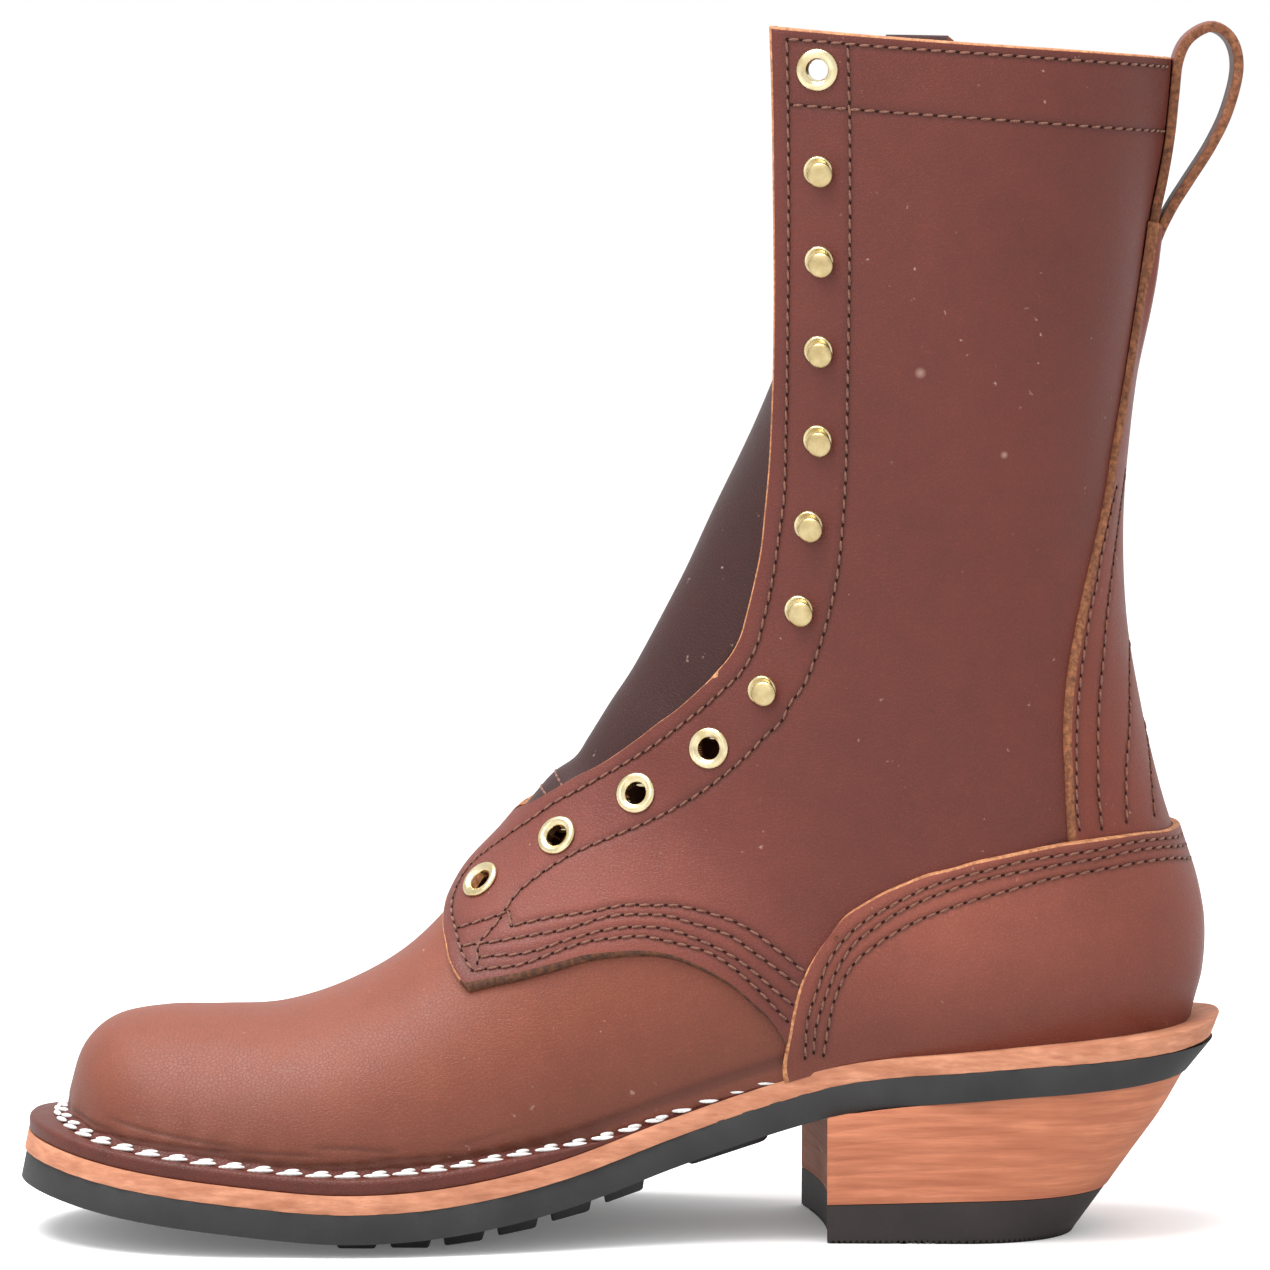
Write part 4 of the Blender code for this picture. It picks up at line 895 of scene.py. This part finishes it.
def patch(front, back, bottom, top, rows, columns, rolls, from_side=False, laid=()):
    """Four-sided leather panel on the last, from its edges, each a line of places on the last.

    rolls gives the width of the round raw cut of the edges that have one. Returns the sections and
    shares of the panel's points and how far each is inside the nearest such cut, 1 being its border.
    from_side fills the edges in as the side view shows them instead of over the last, apart from
    the columns outside the two laid ones.
    """
    seen = (bottom, top, front, back)
    if from_side:
        seen = [form(line[:, 0], line[:, 1])[:, (0, 2)] for line in seen]

    def mesh_at(s, b):
        low, high, near, far = [read_along(np.linspace(0.0, 1.0, len(line)), line, where)
                                for line, where in zip(seen, (s, s, b, b))]
        s, b = s[..., None], b[..., None]
        corners = ((1 - s) * (1 - b) * seen[0][0] + s * (1 - b) * seen[0][-1]
                   + (1 - s) * b * seen[1][0] + s * b * seen[1][-1])
        spot = (1 - b) * low + b * high + (1 - s) * near + s * far - corners
        return np.stack(place(spot[..., 0], spot[..., 1]), axis=-1) if from_side else spot

    even = np.linspace(0.0, 1.0, 60)
    b, s = np.meshgrid(even, even, indexing="ij")
    rough = mesh_at(s, b)
    points = form(rough[..., 0], rough[..., 1])
    width = np.sum(np.linalg.norm(np.diff(points, axis=1), axis=2), axis=1)
    height = np.sum(np.linalg.norm(np.diff(points, axis=0), axis=2), axis=0)

    def spaced(count, length, start, end):
        low = ROLL_STEPS * rolls.get(start, 0.0) / length[:, None]
        high = 1.0 - ROLL_STEPS[::-1] * rolls.get(end, 0.0) / length[:, None]
        low = low if start in rolls else low[:, :1]
        high = high if end in rolls else high[:, -1:]
        inner = np.linspace(0.0, 1.0, count)[None, 1:-1]
        return np.concatenate((low, low[:, -1:] + (high[:, :1] - low[:, -1:]) * inner, high), axis=1)

    across = spaced(columns, width, "front", "back")
    along = spaced(rows, height, "bottom", "top").T
    b = np.array([np.interp(np.linspace(0.0, 1.0, across.shape[1]), even, line) for line in along])
    s = np.array([np.interp(b[:, column], even, across[:, column]) for column in range(across.shape[1])]).T
    where = mesh_at(s, b)
    # The side view shows the top and the back seam edge-on
    for line, rim, inner in zip((front, back), (0, -1), laid):
        columns = slice(None, inner) if rim == 0 else slice(inner, None)
        edge = read_along(np.linspace(0.0, 1.0, len(line)), line, b[:, columns])
        share = (s[:, columns] - s[:, [rim]]) / (s[:, [inner]] - s[:, [rim]])
        where[:, columns] = edge + (where[:, [inner]] - edge) * share[..., None]
    wide = np.interp(b, even, width)
    tall = np.interp(s, even, height)
    inside = np.full(s.shape, 99.0)
    for name, gap in (("front", s * wide), ("back", (1 - s) * wide), ("bottom", b * tall), ("top", (1 - b) * tall)):
        if name in rolls:
            inside = np.minimum(inside, gap / rolls[name])
    return where[..., 0], where[..., 1], inside


def near_line(points, lines, reach):
    """1 on the lines and falling to 0 within about twice the reach of them."""
    spots = np.concatenate([form(line[:, 0], line[:, 1]) for line in lines])
    tree = KDTree(len(spots))
    for number, spot in enumerate(spots):
        tree.insert(spot, number)
    tree.balance()
    away = np.array([tree.find(spot)[2] for spot in points.reshape(-1, 3)]).reshape(points.shape[:-1])
    return np.exp(-(away / reach) ** 2), away


def panel(name, node, number, around, lift, inside, thick, tones, materials, holes=(), dark=None):
    """Leather panel: rounded raw cuts, tones of seam darkening, painted shade and painted sheen with wear, the shaded
    copy of the cut edge where dark is set, lace holes left open, then the leather's thickness.
    """
    left = np.clip(1.0 - inside, 0.0, 1.0)
    fall = 0.93 * thick * (1.0 - np.sqrt(np.maximum(1.0 - left ** 2.4, 0.0)))
    points = on_form(number, around, lift - fall)
    piece = lay_grid(name, points, *materials)
    for tone, values in tones.items():
        shade(piece, tone, values)
    corner = np.minimum(np.minimum(inside[:-1, :-1], inside[1:, :-1]), np.minimum(inside[:-1, 1:], inside[1:, 1:]))
    finish = (corner < 0.98).astype(np.int32)
    # Edge faces where dark is set get the shaded copy of the cut edge: painted shade
    if dark is not None:
        finish[(finish == 1) & dark[:-1, :-1]] = 3
    piece.data.polygons.foreach_set("material_index", finish.reshape(-1))
    cut_holes(piece, points, holes, 3.4)
    apply_step(piece, "SOLIDIFY", thickness=thick * MM, offset=-1.0, material_offset=2, material_offset_rim=1)
    hand_over(piece, "brown_leather", node, angle=60.0)


lower_line = last_line(QUARTER_LOWER, 160)
quarter_front = last_line(QUARTER_FRONT, 400)
quarter_bottom = np.concatenate((lower_line, last_line(QUARTER_HIDDEN, 90)[1:]))
quarter_top = last_line(COLLAR, 120)
back_seam = np.column_stack((np.linspace(19.8, 32.08, 200), np.zeros(200)))

# Stitch rows of a quarter: along the throat, behind the lace holes, at the collar, four along the lower
# edge, and the short ones that close the front corner
QUARTER_ROWS = (
    ((10.18, 0.575), (10.11, 0.622), (10.08, 0.651), (10.06, 0.739), (10.05, 0.815), (10.12, 0.87), (10.3, 0.9),
     (10.65, 0.905), (10.98, 0.883), (11.3, 0.855), (11.81, 0.806), (12.29, 0.779), (12.79, 0.75), (13.27, 0.732),
     (13.78, 0.718), (14.5, 0.706), (15.2, 0.704), (16.08, 0.71), (16.94, 0.718), (17.71, 0.728), (18.45, 0.731),
     (19.19, 0.721), (19.94, 0.714), (20.94, 0.71), (21.97, 0.704), (22.84, 0.698), (23.7, 0.691), (24.6, 0.682),
     (25.61, 0.68), (27.4, 0.682), (28.62, 0.683), (29.83, 0.679), (31.03, 0.675)),
    ((10.91, 0.644), (11.16, 0.655), (11.5, 0.651), (11.87, 0.641), (12.28, 0.628), (12.9, 0.606), (13.47, 0.592),
     (14.32, 0.586), (15.45, 0.6), (16.73, 0.63), (17.53, 0.65), (18.3, 0.665), (18.98, 0.66), (19.62, 0.651),
     (20.88, 0.639), (22.36, 0.625), (23.82, 0.606), (24.83, 0.594), (25.75, 0.586), (26.65, 0.584), (27.81, 0.586),
     (28.96, 0.589), (29.93, 0.589), (31.21, 0.591)),
    ((31.05, 0.675), (31.39, 0.525), (31.63, 0.399), (31.81, 0.252), (31.92, 0.065)),
    ((29.85, 0.674), (30.29, 0.522), (30.66, 0.394), (30.96, 0.242), (31.12, 0.042)),
    ((10.18, 0.575), (10.51, 0.538), (10.86, 0.503), (11.18, 0.486), (11.56, 0.47), (11.92, 0.454), (12.22, 0.436),
     (12.61, 0.411), (12.79, 0.392), (12.99, 0.371), (13.18, 0.35), (13.32, 0.322), (13.41, 0.288), (13.46, 0.26),
     (13.49, 0.228), (13.51, 0.206)),
    ((10.33, 0.592), (10.6, 0.559), (10.89, 0.526), (11.23, 0.501), (11.57, 0.485), (11.86, 0.471), (12.21, 0.455),
     (12.53, 0.436), (12.77, 0.419), (12.98, 0.399), (13.16, 0.375), (13.32, 0.351), (13.46, 0.324), (13.56, 0.291),
     (13.62, 0.261), (13.69, 0.231)),
    ((10.1, 0.664), (10.43, 0.619), (10.62, 0.594), (10.93, 0.562), (11.31, 0.529), (11.63, 0.505), (11.93, 0.49),
     (12.22, 0.479), (12.49, 0.464), (12.77, 0.445), (13.03, 0.425), (13.23, 0.402), (13.42, 0.382), (13.59, 0.36),
     (13.7, 0.329), (13.8, 0.299), (13.91, 0.256)),
    ((10.94, 0.594), (11.27, 0.565), (11.57, 0.541), (11.85, 0.519), (12.13, 0.5), (12.42, 0.486), (12.62, 0.475),
     (12.9, 0.455), (13.18, 0.438), (13.4, 0.419), (13.6, 0.399), (13.78, 0.378), (13.91, 0.352), (14.0, 0.321),
     (14.11, 0.276)),
    ((10.12, 0.728), (10.52, 0.676), (10.95, 0.633)),
    ((10.81, 0.635), (10.56, 0.629), (10.4, 0.628), (10.28, 0.582)),
    ((10.96, 0.631), (10.94, 0.594)),
)

def quarter_lift(number, around):
    """Outer side of a quarter over the last: higher over the vamp's edge and puffed at the instep."""
    points = form(number, around)
    gap = near_line(points, (lower_line,), 1.0)[1]
    lift = QUARTER_LIFT + QUARTER_RAISE * (1.0 - smooth_step(gap, 3.0, 34.0))
    lift += INSTEP_BULGE * np.exp(-((number - 10.4) / 0.6) ** 2) * smooth_step(around, 0.6, 0.95)
    return lift + 0.3 * np.sin(points[..., 0] * 0.05 + 0.7) * np.sin(points[..., 2] * 0.045 + 0.4)


# Shaded copy of the cut edge: painted shade for cuts that face down
SHADED_EDGE = raw_leather("shaded_cut_edge", (0.035, 0.012, 0.006), (0.15, 0.055, 0.024), 900.0, (1.0, 1.0, 1.0))
# Small pale scuffs on the inner quarter: place and reach in millimetres
QUARTER_MARKS = ((75.9, -43.2, 220.9, 1.6), (96.9, -39.6, 200.3, 1.1))
QUARTER_LEATHER = oiled_leather("quarter_leather", (0.097, 0.0182, 0.0116), (0.131, 0.0264, 0.0168),
                                marks=QUARTER_MARKS)
number, around, inside = patch(quarter_front, back_seam, quarter_bottom, quarter_top, 230, 120,
                               {"front": 1.1, "bottom": 2.2, "top": 0.6}, True, (14, -25))
inside = inside + smooth_step(around, 0.9, 0.97) * smooth_step(11.9 - number, 0.0, 0.5)
seam = near_line(form(number, around), [last_line(row, 600) for row in QUARTER_ROWS], 1.0)[0]
lift = quarter_lift(number, around) - 0.3 * seam
spots = form(number, around)
# Painted sheen, with some wear: the quarter's lower front, which faces the light, is made lighter
sheen_and_wear = 0.8 * np.exp(-((spots[..., 0] - 0.0) / 34.0) ** 2 - ((spots[..., 2] - 80.0) / 26.0) ** 2)
# Painted shade: the cut along the quarter's lower edge faces down and gets the shaded copy of the edge
dark = near_line(spots, (lower_line,), 1.0)[1] < 2.4
for label, turned in (("inner", 1), ("outer", -1)):
    holes = on_form(EYELETS[:, 0], turned * EYELETS[:, 1], quarter_lift(*EYELETS.T))
    panel(f"quarter_{label}", "upper", number[:, ::turned], turned * around[:, ::turned], lift[:, ::turned],
          inside[:, ::turned], QUARTER_THICK, {"seam": 0.6 * seam[:, ::turned], "sheen_and_wear": sheen_and_wear[:, ::turned]},
          (QUARTER_LEATHER, RAW_EDGE, FLESH_SIDE, SHADED_EDGE), holes, dark[:, ::turned])

# Backstay: a long wedge of leather that covers the back seam, wide at the ankle and narrow at the top.
# Four rows of stitching hold each side.
STAY_THICK = 1.9
STAY_LIFT = 2.1
LOOP_UNDER = 1.9
STAY_EDGE = (
    (20.2, 0.33), (20.56, 0.328), (21.15, 0.326), (22.16, 0.321), (23.18, 0.308), (23.7, 0.299), (24.13, 0.289),
    (24.86, 0.264), (25.55, 0.229), (26.19, 0.189), (26.79, 0.148), (27.15, 0.125), (27.72, 0.105), (28.28, 0.086),
    (28.87, 0.078), (29.43, 0.064), (29.98, 0.06))
STAY_ROWS = (
    ((27.3, 0.096), (26.79, 0.134), (26.51, 0.154), (26.21, 0.17), (25.92, 0.191), (25.54, 0.212), (25.17, 0.232),
     (24.78, 0.249), (24.43, 0.262), (23.84, 0.279), (23.04, 0.296), (22.02, 0.309), (21.53, 0.31)),
    ((27.5, 0.04), (27.08, 0.068), (26.67, 0.095), (26.31, 0.12), (25.86, 0.149), (25.41, 0.175), (24.95, 0.2),
     (24.45, 0.222), (23.89, 0.24), (23.12, 0.259), (22.02, 0.272)),
    ((25.73, 0.02), (25.43, 0.072), (25.01, 0.108), (24.55, 0.14), (24.19, 0.165), (23.69, 0.188), (22.74, 0.216)),
    ((24.84, 0.014), (24.46, 0.049), (23.97, 0.09), (23.35, 0.124)),
)
stay_front = last_line(STAY_EDGE, 200)
stay_seam = np.column_stack((np.linspace(20.2, 29.98, 200), np.zeros(200)))
stay_bottom = np.column_stack((np.full(41, 20.2), np.linspace(0.33, 0.0, 41)))
stay_top = np.column_stack((np.full(41, 29.98), np.linspace(0.06, 0.0, 41)))


def both_sides(number, around, inside):
    """A panel's inner half and its mirror image joined at the back seam."""
    around[:, -1] = 0.0
    return (np.concatenate((number[:, :-1], number[:, ::-1]), axis=1),
            np.concatenate((around[:, :-1], -around[:, ::-1]), axis=1),
            np.concatenate((inside[:, :-1], inside[:, ::-1]), axis=1))


number, around, inside = both_sides(*patch(stay_front, stay_seam, stay_bottom, stay_top, 170, 34,
                                           {"front": 1.7, "top": 1.2}))
stay_lines = [last_line(row, 300) for row in STAY_ROWS]
seam = near_line(form(number, around), stay_lines + [mirrored(line) for line in stay_lines], 1.0)[0]


def stay_lift(number, around):
    """Outer side of the backstay, higher at its top, where the pull loop's ends lie under it."""
    middle = smooth_step(0.064 - np.abs(around), 0.0, 0.02)
    return STAY_LIFT + LOOP_UNDER * middle * smooth_step(number, 28.4, 29.6)


STAY_LEATHER = oiled_leather("backstay_leather", (0.14, 0.0265, 0.015), (0.182, 0.037, 0.0205))
panel("backstay_wedge", "backstay", number, around, stay_lift(number, around) - 0.3 * seam, inside, STAY_THICK,
      {"seam": 0.6 * seam}, (STAY_LEATHER, BROWN_EDGE, FLESH_SIDE))

# Counter: the leather cup round the heel, sewn over quarters and backstay with three rows of stitching.
# Its upper edge is a thin raw cut.
COUNTER_THICK = 1.9
COUNTER_LIFT = 2.2
COUNTER_OVER_STAY = 1.9
COUNTER_FRONT = ((13.02, 0.085), (13.08, 0.11), (13.24, 0.148), (13.36, 0.171), (13.62, 0.216), (13.87, 0.251),
                 (14.15, 0.28), (14.44, 0.304), (14.75, 0.325))
COUNTER_TOP = (
    (14.75, 0.325), (15.25, 0.356), (15.78, 0.379), (16.36, 0.401), (16.92, 0.421), (17.58, 0.441), (18.16, 0.46),
    (18.77, 0.436), (19.38, 0.409), (20.15, 0.373), (20.91, 0.331), (21.75, 0.275), (22.58, 0.2), (23.11, 0.105),
    (23.3, 0.0))
COUNTER_ROWS = (
    ((13.41, 0.137), (13.77, 0.209), (14.09, 0.248), (14.46, 0.286), (14.89, 0.317), (15.33, 0.341), (15.92, 0.367),
     (16.65, 0.396), (17.35, 0.42), (18.06, 0.452), (18.72, 0.425), (19.56, 0.389), (20.35, 0.347), (21.21, 0.292),
     (22.14, 0.221), (22.8, 0.13), (23.05, 0.03)),
    ((13.53, 0.144), (13.75, 0.188), (13.98, 0.219), (14.29, 0.254), (14.67, 0.288), (15.04, 0.313), (15.5, 0.336),
     (16.13, 0.364), (16.77, 0.39), (17.51, 0.414), (18.27, 0.435), (18.92, 0.406), (19.65, 0.371), (20.37, 0.332),
     (21.18, 0.279), (22.02, 0.212), (22.63, 0.12), (22.84, 0.02)),
    ((13.6, 0.136), (13.87, 0.184), (14.2, 0.23), (14.5, 0.26), (14.91, 0.289), (15.31, 0.309), (15.8, 0.332),
     (16.44, 0.358), (17.19, 0.385), (17.97, 0.417), (18.69, 0.397), (19.46, 0.363), (20.2, 0.324), (20.99, 0.271),
     (21.85, 0.197), (22.33, 0.12), (22.5, 0.02)),
)
counter_front = last_line(COUNTER_FRONT, 80)
counter_top = last_line(COUNTER_TOP, 160)
counter_seam = np.column_stack((np.linspace(18.7, 23.3, 120), np.zeros(120)))
section = np.linspace(13.02, 18.7, 160)
counter_bottom = np.column_stack((section, np.maximum(sole_share(section) - 0.004, 0.0)))
counter_bottom[0] = counter_front[0]
counter_bottom[-1, 1] = 0.0
number, around, inside = both_sides(*patch(counter_front, counter_seam, counter_bottom, counter_top, 96, 110,
                                           {"front": 1.8, "top": 0.6}, True))
counter_lines = [last_line(row, 500) for row in COUNTER_ROWS]
seam = near_line(form(number, around), counter_lines + [mirrored(line) for line in counter_lines], 1.0)[0]


def counter_lift(number, around):
    """Outer side of the counter, higher over the backstay and drawn in at the sole."""
    over = smooth_step(0.39 - np.abs(around), 0.0, 0.1) * smooth_step(number, 19.2, 21.2)
    points = form(number, around)
    drawn_in = smooth_step(points[..., 2] - underside(points[..., 0]) - UPPER_BASE, 0.0, 12.0)
    return (COUNTER_LIFT + COUNTER_OVER_STAY * over) * (0.45 + 0.55 * drawn_in)


COUNTER_LEATHER = oiled_leather("counter_leather", (0.165, 0.037, 0.022), (0.215, 0.0515, 0.0315))
spots = form(number, around)
above_sole = spots[..., 2] - underside(spots[..., 0]) - UPPER_BASE
# Painted shade: the cup darkens towards the sole, added to the darkening along its stitching
painted_shade_and_burnish = np.minimum(0.6 * seam + 0.5 * (1.0 - smooth_step(above_sole, 0.0, 30.0)), 1.0)
# Painted highlight, with some wear: a lighter patch high on the cup towards its front
sheen_and_wear = 0.3 * np.exp(-((spots[..., 0] - 85.0) / 35.0) ** 2 - ((spots[..., 2] - 86.0) / 16.0) ** 2)
panel("counter_cup", "heel_counter", number, around, counter_lift(number, around) - 0.3 * seam, inside,
      COUNTER_THICK, {"seam": painted_shade_and_burnish, "sheen_and_wear": sheen_and_wear}, (COUNTER_LEATHER, RAW_EDGE, FLESH_SIDE))

# Brown stitching: waxed brown thread that sews quarters, backstay, counter and tongue.
# Each stitch lies a little askew between two awl holes and dips into them; the holes are small near-black discs,
# painted shade for their insides.
STITCH_PITCH = 3.5
STITCH = (2.7, 0.64, 0.56)
HOLE_SHADE_SIZE = (1.1, 0.66, 0.44)
TONGUE_STITCHES = (112.6, 116.6)
BROWN_THREAD = thread_material("brown_waxed_thread", (0.1, 0.036, 0.022), (0.24, 0.1, 0.063))
# Painted shade: near-black discs stand for the shaded insides of the awl holes
HOLE_SHADE, tree, shader, spot = new_material("awl_hole_shade", Roughness=0.9, IOR=1.2)
tree.links.new(ramp(tree, noise(tree, spot, 900.0), (0.015, 0.005, 0.003), (0.04, 0.014, 0.009), 0.3, 0.7),
               shader.inputs["Base Color"])
brown_frames = []
hole_shade_frames = []
for rows, lift_at in ((QUARTER_ROWS, quarter_lift), (STAY_ROWS, stay_lift), (COUNTER_ROWS, counter_lift)):
    for row in rows:
        length = lengths(form(*last_line(row, 300).T))[-1]
        line = last_line(row, max(int(length / STITCH_PITCH), 2) * 2 + 1)
        for way in (1, -1):
            section, turn = line[:, 0], way * line[:, 1]
            height = lift_at(line[:, 0], line[:, 1])
            points = on_form(section, turn, height)
            out = facing(section, turn)
            heading = np.gradient(points, axis=0)
            for index in range(len(points)):
                turned = frame_from(heading[index], out[index], math.radians(7.0))
                if index % 2:
                    brown_frames.append((turned, points[index] + 0.02 * out[index]))
                else:
                    hole_shade_frames.append((turned, points[index] - 0.16 * out[index]))
for height in TONGUE_STITCHES:
    row = np.argmin(np.abs(tongue_points[:, 24, 2] - height))
    for column in range(4, 45, 4):
        heading = tongue_points[row, column + 1] - tongue_points[row, column - 1]
        out = np.cross(tongue_points[row + 1, column] - tongue_points[row - 1, column], heading)
        brown_frames.append((frame_from(heading, unit(out)), tongue_points[row, column]))
for name, size, material, frames in (("brown_stitching", STITCH, BROWN_THREAD, brown_frames),
                                     ("stitch_hole_shade", HOLE_SHADE_SIZE, HOLE_SHADE, hole_shade_frames)):
    piece = stitch_base(name, size, material)
    repeat(piece, frames)
    hand_over(piece, "dark_leather", angle=80.0)

# Pull loop: a strap of the upper's leather, folded into a loop that stands over the collar.
# Its two ends are sewn in under the top of the backstay, and its edges are left raw.
STRAP_THICK = 2.5
STRAP_HALF = 9.5
# x and z of the strap's middle
LOOP_PATH = np.array((
    (132.7, 243.0), (134.0, 251.0), (135.4, 260.2), (137.2, 269.0), (138.8, 278.9), (139.9, 289.9), (140.9, 298.3),
    (143.8, 304.0), (149.8, 307.0), (154.9, 303.7), (156.6, 296.2), (154.1, 285.5), (149.8, 276.4), (144.1, 267.4),
    (139.9, 260.6), (136.2, 252.6), (134.2, 244.0)))
step = np.arange(len(LOOP_PATH), dtype=float)
fine = np.linspace(0.0, step[-1], 400)
path = even_steps(np.stack(curves_through(step, LOOP_PATH, fine), axis=1), 120)
width = np.linspace(-1.0, 1.0, 15)
cup = 0.35 * width ** 2
way = unit(np.gradient(path, axis=0))
points = np.stack((path[:, 0:1] + way[:, 1:2] * cup, np.broadcast_to(STRAP_HALF * width, (120, 15)),
                   path[:, 1:2] - way[:, 0:1] * cup), axis=2)
STRAP_LEATHER = oiled_leather("strap_leather", (0.12, 0.03, 0.018), (0.17, 0.046, 0.028))
loop = lay_grid("pull_strap", points, STRAP_LEATHER, BROWN_EDGE)
apply_step(loop, "SOLIDIFY", thickness=STRAP_THICK * MM, offset=0.0, material_offset=0, material_offset_rim=1)
round_edges(loop, 0.4)
hand_over(loop, "brown_leather", "pull_loop")

# Eyelets: stamped brass rings, five to a side, one at the collar and four over the instep.
# Each is set through the leather, rolled over behind it, and open right through.
# Radius and height over the leather of the ring's profile
EYELET = np.array(((5.0, -0.3), (5.3, 0.1), (5.25, 0.45), (4.85, 0.8), (4.25, 0.95), (3.7, 0.85), (3.35, 0.55),
                   (3.15, 0.45), (2.9, 0.3), (2.8, -0.2), (2.8, -2.4), (3.5, -2.6)))


def lathe(name, profile, steps, material):
    """A profile of radius and height turned round the z axis at the origin."""
    angle = np.linspace(0.0, 2.0 * np.pi, steps + 1)[None, :]
    radius = profile[:, 0:1]
    points = np.stack(np.broadcast_arrays(radius * np.cos(angle), radius * np.sin(angle), profile[:, 1:2]), axis=2)
    piece = lay_grid(name, points - STAND, material)
    bpy.ops.object.mode_set(mode="EDIT")
    bpy.ops.mesh.select_all(action="SELECT")
    bpy.ops.mesh.remove_doubles(threshold=1e-7)
    bpy.ops.mesh.normals_make_consistent(inside=False)
    bpy.ops.object.mode_set(mode="OBJECT")
    return piece


def brass(name, dark, light, roughness):
    """Lacquered brass: tarnish clouds, fine scratches and an uneven polish."""
    material, tree, shader, spot = new_material(name, Metallic=1.0)
    cloud = noise(tree, spot, 300.0)
    scratch = noise(tree, spot, 4000.0, 2.0)
    gloss = ramp(tree, scratch, roughness - 0.08, roughness + 0.1, 0.3, 0.7)
    finish(tree, shader, ramp(tree, cloud, dark, light, 0.3, 0.65), gloss, scratch, 0.02)
    return material


def fitting_frames(where, way):
    """Turn and place of each lace fitting: third axis out of the leather, first axis down the row."""
    def leather(section, share):
        return on_form(section, way * share, quarter_lift(section, share))

    section, share = where.T
    spots = leather(section, share)
    out = unit(way * np.cross(leather(section + 0.12, share) - leather(section - 0.12, share),
                              leather(section, share + 0.025) - leather(section, share - 0.025)))
    down = np.array((0.0, 0.0, -1.0))
    return [(frame_from(down, axis), spot) for axis, spot in zip(out, spots)]


POLISHED_BRASS = brass("polished_brass", (0.6, 0.48, 0.25), (0.84, 0.74, 0.48), 0.2)
for label, way in (("inner", 1), ("outer", -1)):
    ring = lathe(f"eyelets_{label}", EYELET, 36, POLISHED_BRASS)
    repeat(ring, fitting_frames(EYELETS, way))
    hand_over(ring, "brass", *[f"eyelet_{label}_{number}" for number in range(1, 6)], angle=60.0)

# Hooks: stamped brass speed hooks, seven to a side, riveted through the leather.
# A dished base, a short neck, and a round cap set a little towards the lower end.
# Radius and height over the leather of base and cap, and the hooks' places on the last
HOOK_BASE = np.array(((3.4, -0.3), (3.85, 0.0), (3.8, 0.5), (3.4, 0.85), (2.9, 0.7), (2.3, 0.4), (1.6, 0.4),
                      (1.55, 1.0), (1.6, 2.2)))
HOOK_CAP = np.array(((0.01, 2.0), (2.4, 2.0), (3.05, 2.3), (3.15, 2.8), (2.95, 3.2), (2.4, 3.35), (1.2, 3.42),
                     (0.01, 3.44)))
HOOKS = np.array(((29.14, 0.636), (28.07, 0.633), (27.01, 0.63), (25.9, 0.629), (24.49, 0.644), (22.18, 0.662),
                  (18.7, 0.696)))
CAP_SHIFT = np.array((0.8, 1.2, 0.0))
BRUSHED_BRASS = brass("brushed_brass", (0.44, 0.33, 0.15), (0.62, 0.5, 0.27), 0.34)
for label, way in (("inner", 1), ("outer", -1)):
    base = lathe(f"hooks_{label}", HOOK_BASE, 24, POLISHED_BRASS)
    cap = lathe("hook_cap", HOOK_CAP, 24, BRUSHED_BRASS)
    move_to(cap, places(cap) + CAP_SHIFT * np.array((1.0, way, 1.0)))
    pick(base)
    cap.select_set(True)
    bpy.ops.object.join()
    repeat(base, fitting_frames(HOOKS, way))
    hand_over(base, "brass", *[f"hook_{label}_{number}" for number in range(1, 8)], angle=50.0)

# Floor, studio light and camera: a pale seamless sweep, broad soft light from above and in front,
# and a long lens level with the top of the shaft.
bpy.ops.object.select_all(action="DESELECT")
bpy.ops.mesh.primitive_plane_add(size=60.0, location=(0.0, 0.0, 0.0))
floor = bpy.context.object
floor.name = "floor"
FLOOR_PAINT, tree, shader, spot = new_material("pale_floor", IOR=1.3, Emission_Strength=0.12)
away = add_node(tree, "ShaderNodeVectorMath", operation="LENGTH")
tree.links.new(spot, away.inputs[0])
sweep = mixed(tree, (away.outputs["Value"], 0.5), (noise(tree, spot, 3.0), 0.02))
bounce = ramp(tree, sweep, (0.55, 0.55, 0.55), (0.985, 0.985, 0.985), 0.15, 1.0)
seen = add_node(tree, "ShaderNodeLightPath").outputs["Is Camera Ray"]
tree.links.new(blend(tree, seen, bounce, (0.985, 0.985, 0.985)), shader.inputs["Base Color"])
shader.inputs["Roughness"].default_value = 0.7
floor.data.materials.append(FLOOR_PAINT)

bpy.context.scene.view_settings.view_transform = "Standard"
world = bpy.data.worlds.new("studio")
bpy.context.scene.world = world
world.use_nodes = True
world.node_tree.nodes["Background"].inputs["Color"].default_value = (1.0, 1.0, 1.0, 1.0)
world.node_tree.nodes["Background"].inputs["Strength"].default_value = 1.0
# name, place, size, power, all aimed at the boot
LIGHTS = (
    ("top_light", (-0.3, -0.2, 1.3), 1.0, 24.0),
    ("front_light", (-0.9, -1.6, 1.1), 1.2, 6.0),
)
AIM = Vector((0.0, 0.0, 0.1))
for name, spot, size, power in LIGHTS:
    bpy.ops.object.light_add(type="AREA", location=spot)
    light = bpy.context.object
    light.name = name
    light.data.shape = "SQUARE"
    light.data.size = size
    light.data.energy = power
    light.rotation_euler = (AIM - Vector(spot)).to_track_quat("-Z", "Y").to_euler()

LENS_PIXELS = 6834.0
IMAGE_PIXELS = 1270.0
SENSOR = 36.0
CAMERA_AT = (50.1, -1740.0, 295.8)
PITCH = math.atan(565.0 / LENS_PIXELS)
YAW = math.atan(182.0 / LENS_PIXELS * math.cos(PITCH))
bpy.ops.object.camera_add(location=(np.array(CAMERA_AT) + STAND) * MM,
                          rotation=(math.pi / 2 - PITCH, 0.0, YAW))
camera = bpy.context.object
camera.data.sensor_width = SENSOR
camera.data.lens = LENS_PIXELS / IMAGE_PIXELS * SENSOR
bpy.context.scene.camera = camera
